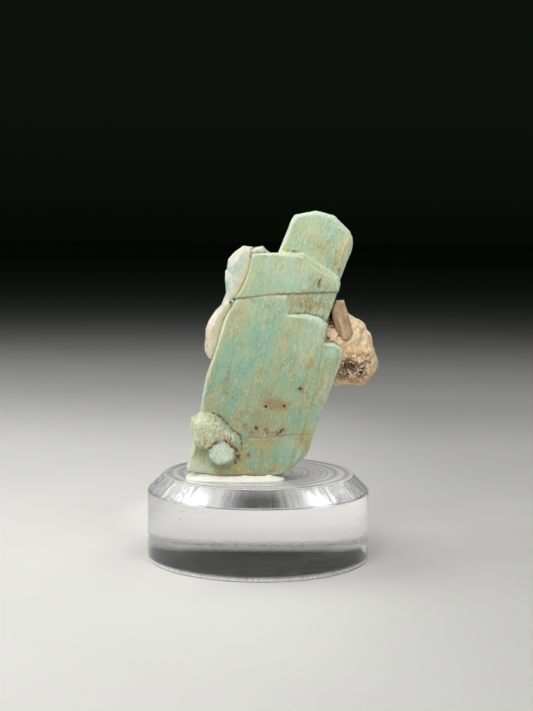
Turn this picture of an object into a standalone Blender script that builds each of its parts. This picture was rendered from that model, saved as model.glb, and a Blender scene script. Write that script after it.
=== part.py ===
"""Amazonite with smoky quartz: a crystal group held by a pad of putty on a clear acrylic display base.

Lengths in this script are millimetres, turned into metres when an object is finished. X runs to the right,
Y away from the viewer and Z up. The origin is the centre of the base's underside.
"""
import math
import random
from dataclasses import dataclass, field

import bmesh
import bpy
from mathutils import Matrix, Vector, noise

MM = 0.001
GAP = 0.3  # left between pieces that touch

# Display base: a turned acrylic disc with a wide bevel around its top face
BASE_DIAMETER = 40.0
BASE_HEIGHT = 15.2
BASE_BEVEL_DROP = 2.9
BASE_BEVEL_REACH = 2.95
BASE_FOOT_CHAMFER = 0.25
BASE_SEGMENTS = 96

FRONT_LEAN = 3.0  # the large front faces tip backwards by this much, in degrees
RIM = (0.3, 0.35)  # bevel of a corner that states none


@dataclass
class Block:
    """A flat-faced crystal, given by its outline as seen from the front.

    corners run anticlockwise as (x, z), or as (x, z, across, down) where the bevel at that corner reaches so
    far across the front face and down the side. front and back are the depths of the two large faces at the
    middle of the outline. lean tips the top of a face backwards and turn swings its right side backwards, in
    degrees; back_lean and back_turn do so for the face behind. cuts are further flat faces, each a point on
    the face and its outward direction.
    """
    corners: list
    front: float
    back: float
    lean: float = FRONT_LEAN
    turn: float = 0.0
    back_lean: float = FRONT_LEAN
    back_turn: float = 0.0
    back_bevel: float = 0.8
    cuts: list = field(default_factory=list)


# The large lower crystal, nearest to the viewer, with chips off its upper right corner
LOWER_CRYSTAL = Block(
    corners=[(-11.3, 16.8), (-7.9, 16.3), (-4.1, 16.0), (0.7, 16.0), (4.3, 16.6), (5.6, 18.0, 0.06, 0.06),
             (7.6, 24.0, 0.06, 0.06), (9.7, 32.0, 0.06, 0.06), (11.3, 39.4, 0.3, 0.3),
             (11.85, 41.8, 0.4, 0.6), (11.85, 42.8, 0.4, 0.6), (10.6, 43.7), (8.6, 44.2, 0.15, 0.2),
             (4.6, 44.2, 0.12, 0.12), (-5.2, 45.1, 0.1, 0.1), (-7.0, 39.9, 0.3, 0.35),
             (-9.15, 33.6, 0.35, 0.45), (-9.9, 30.0, 0.4, 0.5), (-10.4, 26.0, 0.4, 0.5)],
    front=-8.5, back=-0.9, back_lean=-1.0, back_turn=4.0,
    cuts=[((10.9, -7.75, 42.9), (0.5, -0.66, 0.56)), ((8.2, -7.75, 43.85), (0.1, -0.55, 0.83)),
          ((11.75, -8.05, 41.2), (0.85, -0.52, 0.1)), ((1.0, -1.6, 18.0), (0.1, 0.75, -0.65)),
          ((-9.5, -2.0, 30.0), (-0.75, 0.65, 0.1))])

# A narrower crystal along its right side
SIDE_CRYSTAL = Block(
    corners=[(2.0, 16.65), (4.3, 16.65), (5.7, 17.2), (7.1, 18.5, 0.5, 0.4), (8.15, 19.4, 0.8, 0.4),
             (8.75, 20.5, 1.2, 0.4), (10.0, 24.3, 1.3, 0.4), (10.85, 27.2, 1.3, 0.4), (12.5, 31.0, 1.2, 0.4),
             (14.35, 36.4, 0.9, 0.4), (14.6, 37.8, 0.5, 0.4), (14.1, 38.8), (13.0, 39.4), (9.5, 39.5),
             (3.0, 20.0)],
    front=-8.52, back=-1.7, back_turn=-3.0,
    cuts=[((12.5, -2.6, 33.0), (0.6, 0.8, 0.0))])

# The pale foot at the lower left, a little in front of the large face
FOOT = Block(
    corners=[(-12.45, 16.95), (-9.8, 16.85), (-7.9, 16.35), (-4.1, 16.05), (-1.0, 16.05, 0.9, 0.3),
             (0.4, 17.4, 1.6, 0.5), (-1.0, 20.5, 1.8, 0.5), (-3.0, 25.0, 1.5, 0.5), (-10.9, 25.0, 0.6, 0.8),
             (-11.6, 21.5, 0.7, 0.9), (-12.45, 18.2, 0.7, 0.9)],
    front=-9.4, back=-2.0, cuts=[((-9.0, -2.6, 18.0), (-0.5, 0.8, -0.3))])

# The upper crystal above its crack; its right side turns away
UPPER_TURN = 2.6
UPPER_CRYSTAL = Block(
    corners=[(-4.35, 47.05, 0.3, 0.15), (-1.7, 47.2, 0.1, 0.12), (1.8, 47.7, 0.1, 0.12),
             (5.6, 48.0, 0.1, 0.12), (13.75, 48.25, 0.2, 0.2), (14.1, 49.7, 0.4, 0.5), (13.9, 50.75, 0.7, 0.8),
             (13.1, 51.4, 0.9, 1.1), (10.8, 52.65, 0.95, 1.1), (8.7, 54.2, 0.9, 1.1), (7.5, 54.95, 0.6, 0.8),
             (1.4, 55.0, 0.3, 0.35), (-1.45, 54.85, 0.25, 0.25), (-1.7, 52.9, 0.22, 0.2),
             (-2.25, 50.8, 0.22, 0.2), (-3.3, 48.5, 0.22, 0.2)],
    front=-7.15, back=0.4, turn=UPPER_TURN, back_lean=6.0, back_bevel=0.4,
    cuts=[((6.0, -0.4, 53.0), (0.1, 0.6, 0.8))])

# The same crystal below the crack, where its face lies slightly deeper
UPPER_CRYSTAL_STEM = Block(
    corners=[(-7.6, 22.0), (3.6, 21.0), (7.6, 30.0), (11.75, 43.2), (13.1, 46.6), (13.9, 49.2), (6.0, 50.0),
             (-2.0, 50.0), (-3.75, 47.3, 0.4, 0.4), (-4.7, 46.1, 0.3, 0.3), (-5.4, 44.7, 0.3, 0.3),
             (-6.2, 43.3), (-8.6, 34.0)],
    front=-7.45, back=0.1, turn=UPPER_TURN, back_lean=-2.0, back_turn=3.0,
    cuts=[((0.0, -0.5, 28.0), (0.0, 0.8, -0.6))])

# Left of here the large lower face runs on up to the crack, with no ledge; right of it the stem lies deeper
SHOULDER = Block(
    corners=[(-6.15, 42.5, 0.3, 0.1), (5.6, 42.5, 0.7, 0.3), (5.4, 44.6, 0.7, 0.5), (4.9, 47.85, 0.7, 0.5),
             (1.8, 47.6, 0.08, 0.1), (-1.7, 47.1, 0.08, 0.1), (-3.85, 46.95, 0.3, 0.3),
             (-4.6, 46.2, 0.4, 0.4), (-5.25, 45.0, 0.4, 0.4)],
    front=-7.7, back=-6.0, lean=3.6, back_bevel=0.2)

# The crystal at the top, behind the upper one
TOP_CRYSTAL = Block(
    corners=[(-5.6, 29.0), (4.6, 28.0), (14.5, 51.2, 0.9, 0.8), (16.05, 55.2, 1.5, 1.1),
             (16.35, 56.4, 1.2, 1.0), (16.3, 57.5, 0.8, 0.8), (15.8, 58.7, 0.6, 0.7), (14.1, 60.45, 0.6, 0.8),
             (13.0, 61.6, 0.5, 0.7), (9.7, 62.35, 0.5, 0.7), (6.1, 61.65, 0.4, 0.5), (5.55, 60.7, 0.35, 0.4),
             (4.65, 58.3, 0.35, 0.4), (3.2, 54.8, 0.35, 0.4)],
    front=-4.3, back=3.4, turn=-1.5, back_lean=-3.0, back_turn=5.0,
    cuts=[((12.0, 2.9, 60.0), (0.3, 0.75, 0.6)), ((-3.0, 2.4, 32.0), (-0.3, 0.8, -0.5))])

# The small six-sided crystal low on the left that points at the viewer
POINTING_BEVEL = (0.32, 0.35)
POINTING_CRYSTAL = Block(
    corners=[(-8.4, 19.6, *POINTING_BEVEL), (-7.3, 18.55, *POINTING_BEVEL), (-5.7, 18.55, *POINTING_BEVEL),
             (-4.25, 19.35, *POINTING_BEVEL), (-4.2, 21.2, *POINTING_BEVEL), (-6.2, 22.45, *POINTING_BEVEL),
             (-8.45, 21.3, *POINTING_BEVEL)],
    front=-11.4, back=-7.5, lean=8.0, turn=-6.0, back_lean=0.0, back_bevel=0.2)

AMAZONITE_BLOCKS = [LOWER_CRYSTAL, SIDE_CRYSTAL, FOOT, UPPER_CRYSTAL, UPPER_CRYSTAL_STEM, TOP_CRYSTAL]

# The blocks that have grooves and pits
GROOVED = {"lower": LOWER_CRYSTAL, "stem": UPPER_CRYSTAL_STEM, "upper": UPPER_CRYSTAL, "top": TOP_CRYSTAL}

# The ribbed dome of small crystals above the pointing one: its outline from the front
DOME_OUTLINE = [(-11.8, 26.1), (-10.5, 27.0), (-9.7, 27.35), (-8.1, 27.3), (-6.5, 26.2), (-5.1, 24.8),
                (-3.6, 23.2), (-3.1, 22.3), (-2.95, 21.0), (-3.3, 19.2), (-5.5, 18.6), (-8.8, 20.1),
                (-10.5, 21.0), (-11.6, 22.3), (-11.9, 24.0)]
DOME_FRONT = -11.0
DOME_BACK = -4.2
DOME_RIB_SPACING = 0.95
DOME_RIB_HEIGHT = 0.08
DOME_RIB_LEAN = 0.1  # across for each millimetre up
DOME_LUMP_HEIGHT = 0.3
DOME_LUMP_SIZE = 1.7
DOME_FLATNESS = 2.3
DOME_CUTS = 15

# The long crack across the upper crystal
CRACK = [(-5.4, 47.0), (-1.7, 47.2), (1.8, 47.7), (5.6, 48.0), (14.6, 48.25)]
CRACK_WIDTH = 0.2
CRACK_DEPTH = 0.3

# Fine upright grooves: block, x and z of the lower end, length, and spacing to the next of a set
GROOVE_LEAN = 17.0  # degrees to the right
GROOVE_WIDTH = 0.22
GROOVE_DEPTH = 0.12
GROOVE_STAGGER = 0.6  # the lower ends lie this much up or down from a level line
GROOVE_SPREAD = 0.25  # share of the length by which the grooves of a set differ
CUTTER_PROUD = 1.0  # how far a wedge stands out of the face it cuts
GROOVE_SETS = [
    ("stem", 5.6, 44.9, 2.6, 1.35, 5),
    ("top", 10.6, 54.2, 4.2, 0.85, 5),
    ("lower", -7.4, 30.5, 9.0, 2.6, 3),
    ("lower", 3.4, 33.0, 7.0, 2.1, 3),
    ("upper", 1.4, 49.2, 3.6, 2.9, 3),
]

# Natural pits in the front faces: block, x, z, width, height, depth
PITS = [
    ("lower", 4.0, 24.1, 1.2, 0.45, 0.5), ("lower", 1.5, 24.3, 0.6, 0.5, 0.4),
    ("lower", -0.3, 24.6, 0.45, 0.6, 0.4), ("lower", 1.3, 28.3, 0.55, 0.5, 0.45),
    ("lower", 4.4, 28.4, 0.5, 0.6, 0.5), ("lower", 7.2, 31.4, 0.6, 0.7, 0.4),
    ("lower", -1.8, 19.9, 0.5, 0.5, 0.4), ("upper", 10.4, 49.8, 0.3, 1.5, 0.5),
    ("stem", -5.0, 46.1, 0.6, 0.6, 0.7),
]

PIT_WOBBLE = 0.5  # how far a pit's edge departs from round

# The hollow underneath, which the putty fills
FOOT_HOLLOW_CENTRE = (-3.6, -5.2, 15.6)
FOOT_HOLLOW_RADII = (6.2, 2.9, 1.3)

# Pale feldspar crystals at the upper left, behind the upper amazonite crystal
FELDSPAR_BLOCKS = [
    Block(corners=[(-4.6, 45.2), (-1.6, 45.2), (-0.2, 54.2), (-1.3, 55.9, 0.6, 0.6), (-3.0, 56.1, 0.9, 0.7),
                   (-4.4, 55.1, 1.2, 1.0), (-5.55, 53.8, 1.3, 1.1), (-5.75, 52.4, 1.0, 1.0),
                   (-5.6, 47.5, 0.5, 0.6)],
          front=-6.6, back=2.3, turn=-13.0, back_lean=8.0),
    Block(corners=[(-6.65, 45.95, 0.5, 0.5), (-4.0, 42.0), (-0.6, 43.0), (-0.6, 50.5), (-4.4, 52.2),
                   (-6.05, 51.8, 0.9, 0.8), (-6.1, 50.1, 0.6, 0.6), (-5.85, 48.0, 0.6, 0.6)],
          front=-6.35, back=1.8, turn=-10.0, back_turn=12.0),
    Block(corners=[(-1.35, 53.0), (2.6, 52.6), (1.7, 55.0, 0.4, 0.4), (1.0, 55.5, 0.4, 0.4),
                   (0.5, 56.1, 0.4, 0.5), (-0.95, 55.85, 0.2, 0.2)],
          front=-6.3, back=1.6, turn=4.0, back_bevel=0.5),
]

# The pale smoky quartz on the left
LEFT_QUARTZ_BLOCKS = [
    Block(corners=[(-8.5, 36.2), (-5.0, 33.0), (-3.5, 40.0), (-4.4, 47.0), (-6.1, 46.4, 0.5, 0.5),
                   (-7.9, 44.5, 0.9, 0.9), (-8.9, 43.0, 1.1, 1.1), (-9.4, 41.6, 1.0, 1.1),
                   (-9.45, 40.2, 0.7, 0.9)],
          front=-7.2, back=2.4, turn=-12.0, back_turn=10.0),
    Block(corners=[(-8.5, 36.15, 0.5, 0.5), (-5.0, 34.5), (-3.0, 40.5), (-8.6, 41.2), (-9.4, 40.3, 0.6, 0.6),
                   (-9.65, 39.0, 0.8, 0.9), (-9.6, 37.7, 0.8, 0.9), (-9.15, 36.8, 0.6, 0.6)],
          front=-6.7, back=1.6, turn=-14.0, back_turn=6.0),
]

# The smoky quartz crystal on the right, narrow at its top and pointed at its foot
RIGHT_QUARTZ = Block(
    corners=[(14.7, 39.75, 0.5, 0.6), (15.4, 39.45, 0.5, 0.6), (16.1, 39.95, 0.5, 0.7),
             (16.42, 40.9, 0.5, 0.8), (16.1, 42.6, 0.45, 0.8), (15.55, 44.7, 0.35, 0.6),
             (14.85, 46.75, 0.35, 0.4), (13.2, 46.75), (12.75, 44.9), (12.8, 43.6), (13.45, 41.6, 0.4, 0.5)],
    front=-5.4, back=-2.3, turn=8.0, back_bevel=0.6, cuts=[((14.2, -5.4, 42.4), (-0.53, -0.82, -0.215))])

# The matrix rock: its outline from the front, its depth, its lumps, and the pits low on its front
MATRIX_OUTLINE = [(13.6, 31.25), (16.3, 31.25), (18.7, 31.35), (19.6, 31.9), (20.3, 32.7), (21.15, 34.0),
                  (21.45, 35.2), (20.95, 37.0), (20.35, 38.2), (20.05, 39.6), (19.85, 40.8), (18.9, 42.2),
                  (17.9, 43.1), (17.0, 43.4), (15.9, 44.2), (14.2, 45.2), (11.6, 46.8), (7.0, 47.6),
                  (1.0, 46.5), (-3.6, 44.2), (-6.6, 40.5), (-8.2, 36.0), (-7.4, 31.0), (-4.0, 27.0),
                  (2.0, 25.6), (8.0, 28.2)]
MATRIX_FRONT = -5.4
MATRIX_BACK = 7.6
MATRIX_BREAKS = [  # flat broken faces: a point on each, and its outward direction
    ((5.0, 6.3, 38.0), (0.05, 0.97, 0.2)), ((-4.2, 4.6, 36.0), (-0.6, 0.78, 0.1)),
    ((17.0, 4.9, 38.0), (0.62, 0.76, -0.15)), ((3.0, 4.9, 29.5), (-0.1, 0.62, -0.78)),
    ((9.0, 4.6, 45.6), (0.15, 0.62, 0.77)), ((17.5, -4.1, 33.2), (0.25, -0.72, -0.62)),
    ((-2.0, 3.4, 43.4), (-0.5, 0.5, 0.72))]
MATRIX_LUMP_HEIGHT = 0.9
MATRIX_LUMP_SIZE = 3.2
MATRIX_GRAIN_HEIGHT = 0.38
MATRIX_GRAIN_SIZE = 1.2
MATRIX_FLATNESS = 2.8
MATRIX_CUTS = 18
MATRIX_PITS = 16
MATRIX_PIT_WIDTH = (0.5, 1.0)
MATRIX_PIT_DEPTH = 0.45
MATRIX_PIT_AREA = ((15.0, 20.4), (32.2, 37.6))  # across and up
MATRIX_PIT_SEED = 7

# The pad of putty between the base and the crystals, seen from above
PUTTY_OUTLINE = [(-12.9, -6.0), (-12.3, -9.2), (-9.0, -10.6), (-3.0, -11.0), (2.6, -10.8), (4.5, -9.6),
                 (4.7, -5.5), (3.2, -2.4), (-1.5, -1.1), (-8.5, -1.6), (-12.0, -3.2)]
PUTTY_TOP = 16.45
PUTTY_LUMP_HEIGHT = 0.12
PUTTY_LUMP_SIZE = 2.2
PUTTY_FLATNESS = 5.0
PUTTY_CUTS = 11

# Colours, from the photograph: red, green, blue, roughness, how much light passes through
LOOKS = {
    "display_base": (0.92, 0.93, 0.92, 0.03, 1.0),
    "mounting_putty": (0.80, 0.77, 0.70, 0.60, 0.0),
    "amazonite": (0.40, 0.60, 0.49, 0.42, 0.0),
    "pale_feldspar": (0.76, 0.74, 0.68, 0.40, 0.0),
    "smoky_quartz_left": (0.70, 0.60, 0.52, 0.18, 0.5),
    "smoky_quartz_right": (0.36, 0.25, 0.18, 0.12, 0.6),
    "matrix_rock": (0.66, 0.50, 0.37, 0.75, 0.0),
}


def clear_scene():
    """Remove whatever the scene holds."""
    for item in list(bpy.data.objects):
        bpy.data.objects.remove(item, do_unlink=True)


def new_object(name, shape):
    """Turn a bmesh into an object and free the bmesh."""
    bmesh.ops.recalc_face_normals(shape, faces=shape.faces)
    mesh = bpy.data.meshes.new(name)
    shape.to_mesh(mesh)
    shape.free()
    result = bpy.data.objects.new(name, mesh)
    bpy.context.scene.collection.objects.link(result)
    return result


def combine(target, tools, operation, solver="EXACT"):
    """Unite the target with each tool, or cut it by each, and remove the tools."""
    for tool in tools:
        step = target.modifiers.new(operation.lower(), "BOOLEAN")
        step.operation = operation
        step.solver = solver
        step.object = tool
    bpy.context.view_layer.update()
    graph = bpy.context.evaluated_depsgraph_get()
    result = bpy.data.meshes.new_from_object(target.evaluated_get(graph))
    target.modifiers.clear()
    target.data = result
    for tool in tools:
        bpy.data.objects.remove(tool, do_unlink=True)


def tipped(lean, turn):
    """Direction towards the viewer, tipped upwards by lean and to the right by turn."""
    return (Matrix.Rotation(math.radians(turn), 3, "Z") @ Matrix.Rotation(-math.radians(lean), 3, "X")
            @ Vector((0.0, -1.0, 0.0)))


def middle_of(corners):
    """Mean of an outline's corners."""
    return tuple(sum(corner[axis] for corner in corners) / len(corners) for axis in range(2))


def depth_at(block, x, z, behind=False):
    """Y of the block's front face over the point (x, z), or of the face behind."""
    if behind:
        direction = tipped(block.back_lean, block.back_turn)
    else:
        direction = tipped(block.lean, block.turn)
    middle_x, middle_z = middle_of(block.corners)
    start = block.back if behind else block.front
    return start - (direction.x * (x - middle_x) + direction.z * (z - middle_z)) / direction.y


def moved_outline(corners, distances):
    """The outline with each corner moved inwards by its distance, measured square to its edges."""
    result = []
    for index, corner in enumerate(corners):
        here = Vector(corner[:2])
        before = (here - Vector(corners[index - 1][:2])).normalized()
        after = (Vector(corners[(index + 1) % len(corners)][:2]) - here).normalized()
        inward = Vector((-before.y - after.y, before.x + after.x)).normalized()
        square = Vector((-before.y, before.x))
        result.append(here + inward * distances[index] / max(inward.dot(square), 0.5))
    return result


def block_solid(block, grow=0.0):
    """A block as a solid; grow makes the larger copy that cuts a neighbour and leaves the gap."""
    bevels = [corner[2:] if len(corner) == 4 else RIM for corner in block.corners]
    count = len(block.corners)
    rim = moved_outline(block.corners, [-grow] * count)
    face = moved_outline(block.corners, [across - grow for across, down in bevels])
    rear = moved_outline(block.corners, [block.back_bevel - grow] * count)
    loops = [
        [(x, depth_at(block, x, z) - grow, z) for x, z in face],
        [(x, depth_at(block, x, z) - grow + down, z) for (x, z), (across, down) in zip(rim, bevels)],
        [(x, depth_at(block, x, z, behind=True) + grow - block.back_bevel, z) for x, z in rim],
        [(x, depth_at(block, x, z, behind=True) + grow, z) for x, z in rear],
    ]
    shape = bmesh.new()
    loops = [[shape.verts.new(point) for point in loop] for loop in loops]
    for loop, following in zip(loops, loops[1:]):
        for index in range(count):
            after = (index + 1) % count
            shape.faces.new((loop[index], loop[after], following[after], following[index]))
    shape.faces.new(reversed(loops[0]))
    shape.faces.new(loops[-1])
    for point, direction in block.cuts:
        outward = Vector(direction).normalized()
        cut_off(shape, Vector(point) + outward * grow, outward)
    bmesh.ops.triangulate(shape, faces=shape.faces)
    return new_object("block", shape)


def cut_off(shape, point, outward):
    """Cut away what lies beyond a plane and close the cut with a flat face."""
    everything = shape.verts[:] + shape.edges[:] + shape.faces[:]
    cut = bmesh.ops.bisect_plane(shape, geom=everything, dist=1e-5, plane_co=point, plane_no=outward,
                                 clear_outer=True)
    rim = [item for item in cut["geom_cut"] if isinstance(item, bmesh.types.BMEdge)]
    if rim:
        bmesh.ops.edgeloop_fill(shape, edges=rim)


def flatten(body, faces):
    """Cut flat faces on a finished body, each given as a point and its outward direction."""
    shape = bmesh.new()
    shape.from_mesh(body.data)
    for point, direction in faces:
        cut_off(shape, Vector(point), Vector(direction).normalized())
    bmesh.ops.triangulate(shape, faces=shape.faces)
    shape.to_mesh(body.data)
    shape.free()


def lumps(point, size, seed):
    """Smooth noise between about -1 and 1."""
    return noise.noise(Vector(point) / size + Vector((seed, -seed, 2.0 * seed)))


def reach_of(outline, centre, angle):
    """Distance from the centre to the outline in the direction of the angle."""
    ray = Vector((math.cos(angle), math.sin(angle)))
    reach = 0.0
    for start, end in zip(outline, outline[1:] + outline[:1]):
        offset = Vector(start) - centre
        edge = Vector(end) - Vector(start)
        turn = ray.x * edge.y - ray.y * edge.x
        if abs(turn) < 1e-9:
            continue
        distance = (offset.x * edge.y - offset.y * edge.x) / turn
        share = (offset.x * ray.y - offset.y * ray.x) / turn
        if distance > 0.0 and -1e-6 <= share <= 1.0 + 1e-6:
            reach = max(reach, distance)
    return reach


def rounded_solid(name, outline, near, far, flatness, cuts, relief, flat=False):
    """A rounded body with the given outline between two depths, raised by relief(place, outward).

    It is a cube of many small squares blown up to a rounded body, so no point gathers the edges. The outline
    is upright, as (x, z), or flat, as (x, y). The higher the flatness, the flatter its near and far sides.
    """
    shape = bmesh.new()
    bmesh.ops.create_cube(shape, size=2.0)
    bmesh.ops.subdivide_edges(shape, edges=shape.edges[:], cuts=cuts, use_grid_fill=True)
    centre = Vector(middle_of(outline))
    for corner in shape.verts:
        ball = Vector(math.tan(value * math.pi / 4) for value in corner.co).normalized()
        radius = math.hypot(ball.x, ball.z)
        size = (radius ** flatness + abs(ball.y) ** flatness) ** (-1.0 / flatness)
        angle = math.atan2(ball.z, ball.x)
        reach = reach_of(outline, centre, angle) * radius * size
        depth = (near + far) / 2 + ball.y * size * (far - near) / 2
        place = Vector((centre.x + reach * math.cos(angle), depth, centre.y + reach * math.sin(angle)))
        place += ball * relief(place, ball)
        corner.co = place.xzy if flat else place
    bmesh.ops.triangulate(shape, faces=shape.faces)
    return new_object(name, shape)


def turned_disc():
    """The display base, turned about the Z axis."""
    radius = BASE_DIAMETER / 2
    profile = [(radius - BASE_FOOT_CHAMFER, 0.0), (radius, BASE_FOOT_CHAMFER),
               (radius, BASE_HEIGHT - BASE_BEVEL_DROP), (radius - BASE_BEVEL_REACH, BASE_HEIGHT)]
    rings = []
    for reach, height in profile:
        angles = (2 * math.pi * step / BASE_SEGMENTS for step in range(BASE_SEGMENTS))
        rings.append([Vector((reach * math.cos(angle), reach * math.sin(angle), height)) for angle in angles])
    shape = bmesh.new()
    loops = [[shape.verts.new(point) for point in ring] for ring in rings]
    for ring, following in zip(loops, loops[1:]):
        for index in range(BASE_SEGMENTS):
            after = (index + 1) % BASE_SEGMENTS
            shape.faces.new((ring[index], ring[after], following[after], following[index]))
    shape.faces.new(reversed(loops[0]))
    shape.faces.new(loops[-1])
    return new_object("display_base", shape)


def ribbed_dome():
    """The dome of small crystals, with upright ribs and a few lumps."""

    def relief(place, outward):
        rib = math.cos(2 * math.pi * (place.x - DOME_RIB_LEAN * place.z) / DOME_RIB_SPACING)
        return DOME_RIB_HEIGHT * rib + DOME_LUMP_HEIGHT * lumps(place, DOME_LUMP_SIZE, 4.0)

    return rounded_solid("dome", DOME_OUTLINE, DOME_FRONT, DOME_BACK, DOME_FLATNESS, DOME_CUTS, relief)


def pit_cutter(x, face, z, width, height, depth):
    """A small rough hollow sunk into a front face."""
    shape = bmesh.new()
    bmesh.ops.create_icosphere(shape, subdivisions=1, radius=1.0)
    for corner in shape.verts:
        wobble = 1.0 + PIT_WOBBLE * lumps(corner.co + Vector((x, 0.0, z)), 0.7, 9.0)
        corner.co = Vector((x + corner.co.x * wobble * width / 2, face + corner.co.y * depth,
                            z + corner.co.z * wobble * height / 2))
    return new_object("pit", shape)


def wedge_along(block, route, width, depth):
    """A wedge along a route on the front face of a block, with its sharp edge inwards."""
    shape = bmesh.new()
    loops = []
    along = (Vector(route[-1]) - Vector(route[0])).normalized()
    side = Vector((-along.y, along.x)) * width / 2 * (depth + CUTTER_PROUD) / depth
    for x, z in route:
        face = depth_at(block, x, z)
        outer = face - CUTTER_PROUD
        corners = [(x - side.x, outer, z - side.y), (x + side.x, outer, z + side.y), (x, face + depth, z)]
        loops.append([shape.verts.new(corner) for corner in corners])
    for loop, following in zip(loops, loops[1:]):
        for index in range(3):
            after = (index + 1) % 3
            shape.faces.new((loop[index], loop[after], following[after], following[index]))
    shape.faces.new(loops[0])
    shape.faces.new(reversed(loops[-1]))
    return new_object("wedge", shape)


def groove_cutters(kind):
    """The fine upright grooves of one block."""
    block = GROOVED[kind]
    result = []
    for name, x, z, length, spacing, count in GROOVE_SETS:
        if name != kind:
            continue
        for number in range(count):
            start_x = x + spacing * number
            start_z = z + GROOVE_STAGGER * math.sin(5.1 * number + x)
            run = length * (1.0 + GROOVE_SPREAD * math.sin(3.7 * number + z))
            end_x = start_x + run * math.tan(math.radians(GROOVE_LEAN))
            result.append(wedge_along(block, [(start_x, start_z), (end_x, start_z + run)], GROOVE_WIDTH,
                                      GROOVE_DEPTH))
    return result


def pit_cutters(kind):
    """The natural pits of one block."""
    block = GROOVED[kind]
    return [pit_cutter(x, depth_at(block, x, z), z, width, height, depth)
            for name, x, z, width, height, depth in PITS if name == kind]


def ellipsoid(centre, radii):
    """A plain low ellipsoid."""
    shape = bmesh.new()
    bmesh.ops.create_icosphere(shape, subdivisions=2, radius=1.0)
    for corner in shape.verts:
        corner.co = Vector(centre[axis] + corner.co[axis] * radii[axis] for axis in range(3))
    return new_object("ellipsoid", shape)


def grooved_block(kind, extra=()):
    """A block of the amazonite with its grooves and pits cut."""
    body = block_solid(GROOVED[kind])
    combine(body, groove_cutters(kind) + pit_cutters(kind) + list(extra), "DIFFERENCE")
    return body


def amazonite():
    """The amazonite crystals, grown together into one body, with their crack, grooves and pits."""
    crack = wedge_along(UPPER_CRYSTAL, CRACK, CRACK_WIDTH, CRACK_DEPTH)
    body = grooved_block("lower")
    others = [grooved_block("upper", [crack]), grooved_block("stem"), grooved_block("top")]
    others += [block_solid(block) for block in (SIDE_CRYSTAL, FOOT, SHOULDER, POINTING_CRYSTAL)]
    combine(body, others + [ribbed_dome()], "UNION")
    combine(body, [ellipsoid(FOOT_HOLLOW_CENTRE, FOOT_HOLLOW_RADII)], "DIFFERENCE")
    body.name = "amazonite"
    return body


def crystal_group(name, blocks, neighbours):
    """Crystals of one mineral as one body, cut back from the neighbours by the gap.

    The exact solver leaves open edges where the neighbours' grown faces nearly meet, so this is a manifold
    cut.
    """
    body = block_solid(blocks[0])
    combine(body, [block_solid(block) for block in blocks[1:]], "UNION")
    combine(body, [block_solid(block, GAP) for block in neighbours], "DIFFERENCE", "MANIFOLD")
    body.name = name
    return body


def matrix_rock(neighbours):
    """The matrix: a lumpy rock that joins the crystals behind, cut back from them by the gap."""

    def relief(place, outward):
        facing = 0.25 + 0.75 * abs(outward.y)  # lower at the outline, so that its shape holds
        return (MATRIX_LUMP_HEIGHT * facing * lumps(place, MATRIX_LUMP_SIZE, 3.0)
                + MATRIX_GRAIN_HEIGHT * lumps(place, MATRIX_GRAIN_SIZE, 5.0))

    body = rounded_solid("matrix_rock", MATRIX_OUTLINE, MATRIX_FRONT, MATRIX_BACK, MATRIX_FLATNESS,
                         MATRIX_CUTS, relief)
    flatten(body, MATRIX_BREAKS)
    bpy.context.view_layer.update()
    chance = random.Random(MATRIX_PIT_SEED)
    (left, right), (low, high) = MATRIX_PIT_AREA
    pits = []
    for number in range(MATRIX_PITS):
        x = chance.uniform(left, right)
        z = low + (high - low) * chance.random() ** 1.5
        width = chance.uniform(*MATRIX_PIT_WIDTH)
        hit, place = body.ray_cast(Vector((x, -50.0, z)), Vector((0.0, 1.0, 0.0)))[:2]
        if hit:
            pits.append(pit_cutter(x, place.y, z, width, width * chance.uniform(0.6, 1.1), MATRIX_PIT_DEPTH))
    combine(body, pits + [block_solid(block, GAP) for block in neighbours], "DIFFERENCE")
    return body


def mounting_putty():
    """The pad that the crystals are pressed into, cut back from them by the gap."""

    def relief(place, outward):
        return PUTTY_LUMP_HEIGHT * lumps(place, PUTTY_LUMP_SIZE, 7.0) * max(outward.y, 0.0)

    low = BASE_HEIGHT + GAP
    body = rounded_solid("mounting_putty", PUTTY_OUTLINE, 2 * low - PUTTY_TOP, PUTTY_TOP, PUTTY_FLATNESS,
                         PUTTY_CUTS, relief, flat=True)
    flatten(body, [((0.0, 0.0, low), (0.0, 0.0, -1.0))])
    combine(body, [block_solid(block, GAP) for block in (LOWER_CRYSTAL, SIDE_CRYSTAL, FOOT)], "DIFFERENCE")
    return body


def give_look(piece):
    """Give a piece its own material, from the table of looks."""
    red, green, blue, roughness, clear = LOOKS[piece.name]
    material = bpy.data.materials.new(piece.name)
    material.use_nodes = True
    shader = material.node_tree.nodes["Principled BSDF"]
    shader.inputs["Base Color"].default_value = (red, green, blue, 1.0)
    shader.inputs["Roughness"].default_value = roughness
    shader.inputs["Metallic"].default_value = 0.0
    shader.inputs["Transmission Weight"].default_value = clear
    piece.data.materials.clear()
    piece.data.materials.append(material)


def finish(pieces):
    """Bring the pieces to metres, clean their meshes and parent them to one empty."""
    group = bpy.data.objects.new("amazonite_on_base", None)
    bpy.context.scene.collection.objects.link(group)
    for piece in pieces:
        piece.data.transform(Matrix.Scale(MM, 4))
        give_look(piece)
        if piece.name == "display_base":
            piece.data.shade_smooth()
            piece.data.set_sharp_from_angle(angle=math.radians(30.0))
        piece.parent = group


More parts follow.
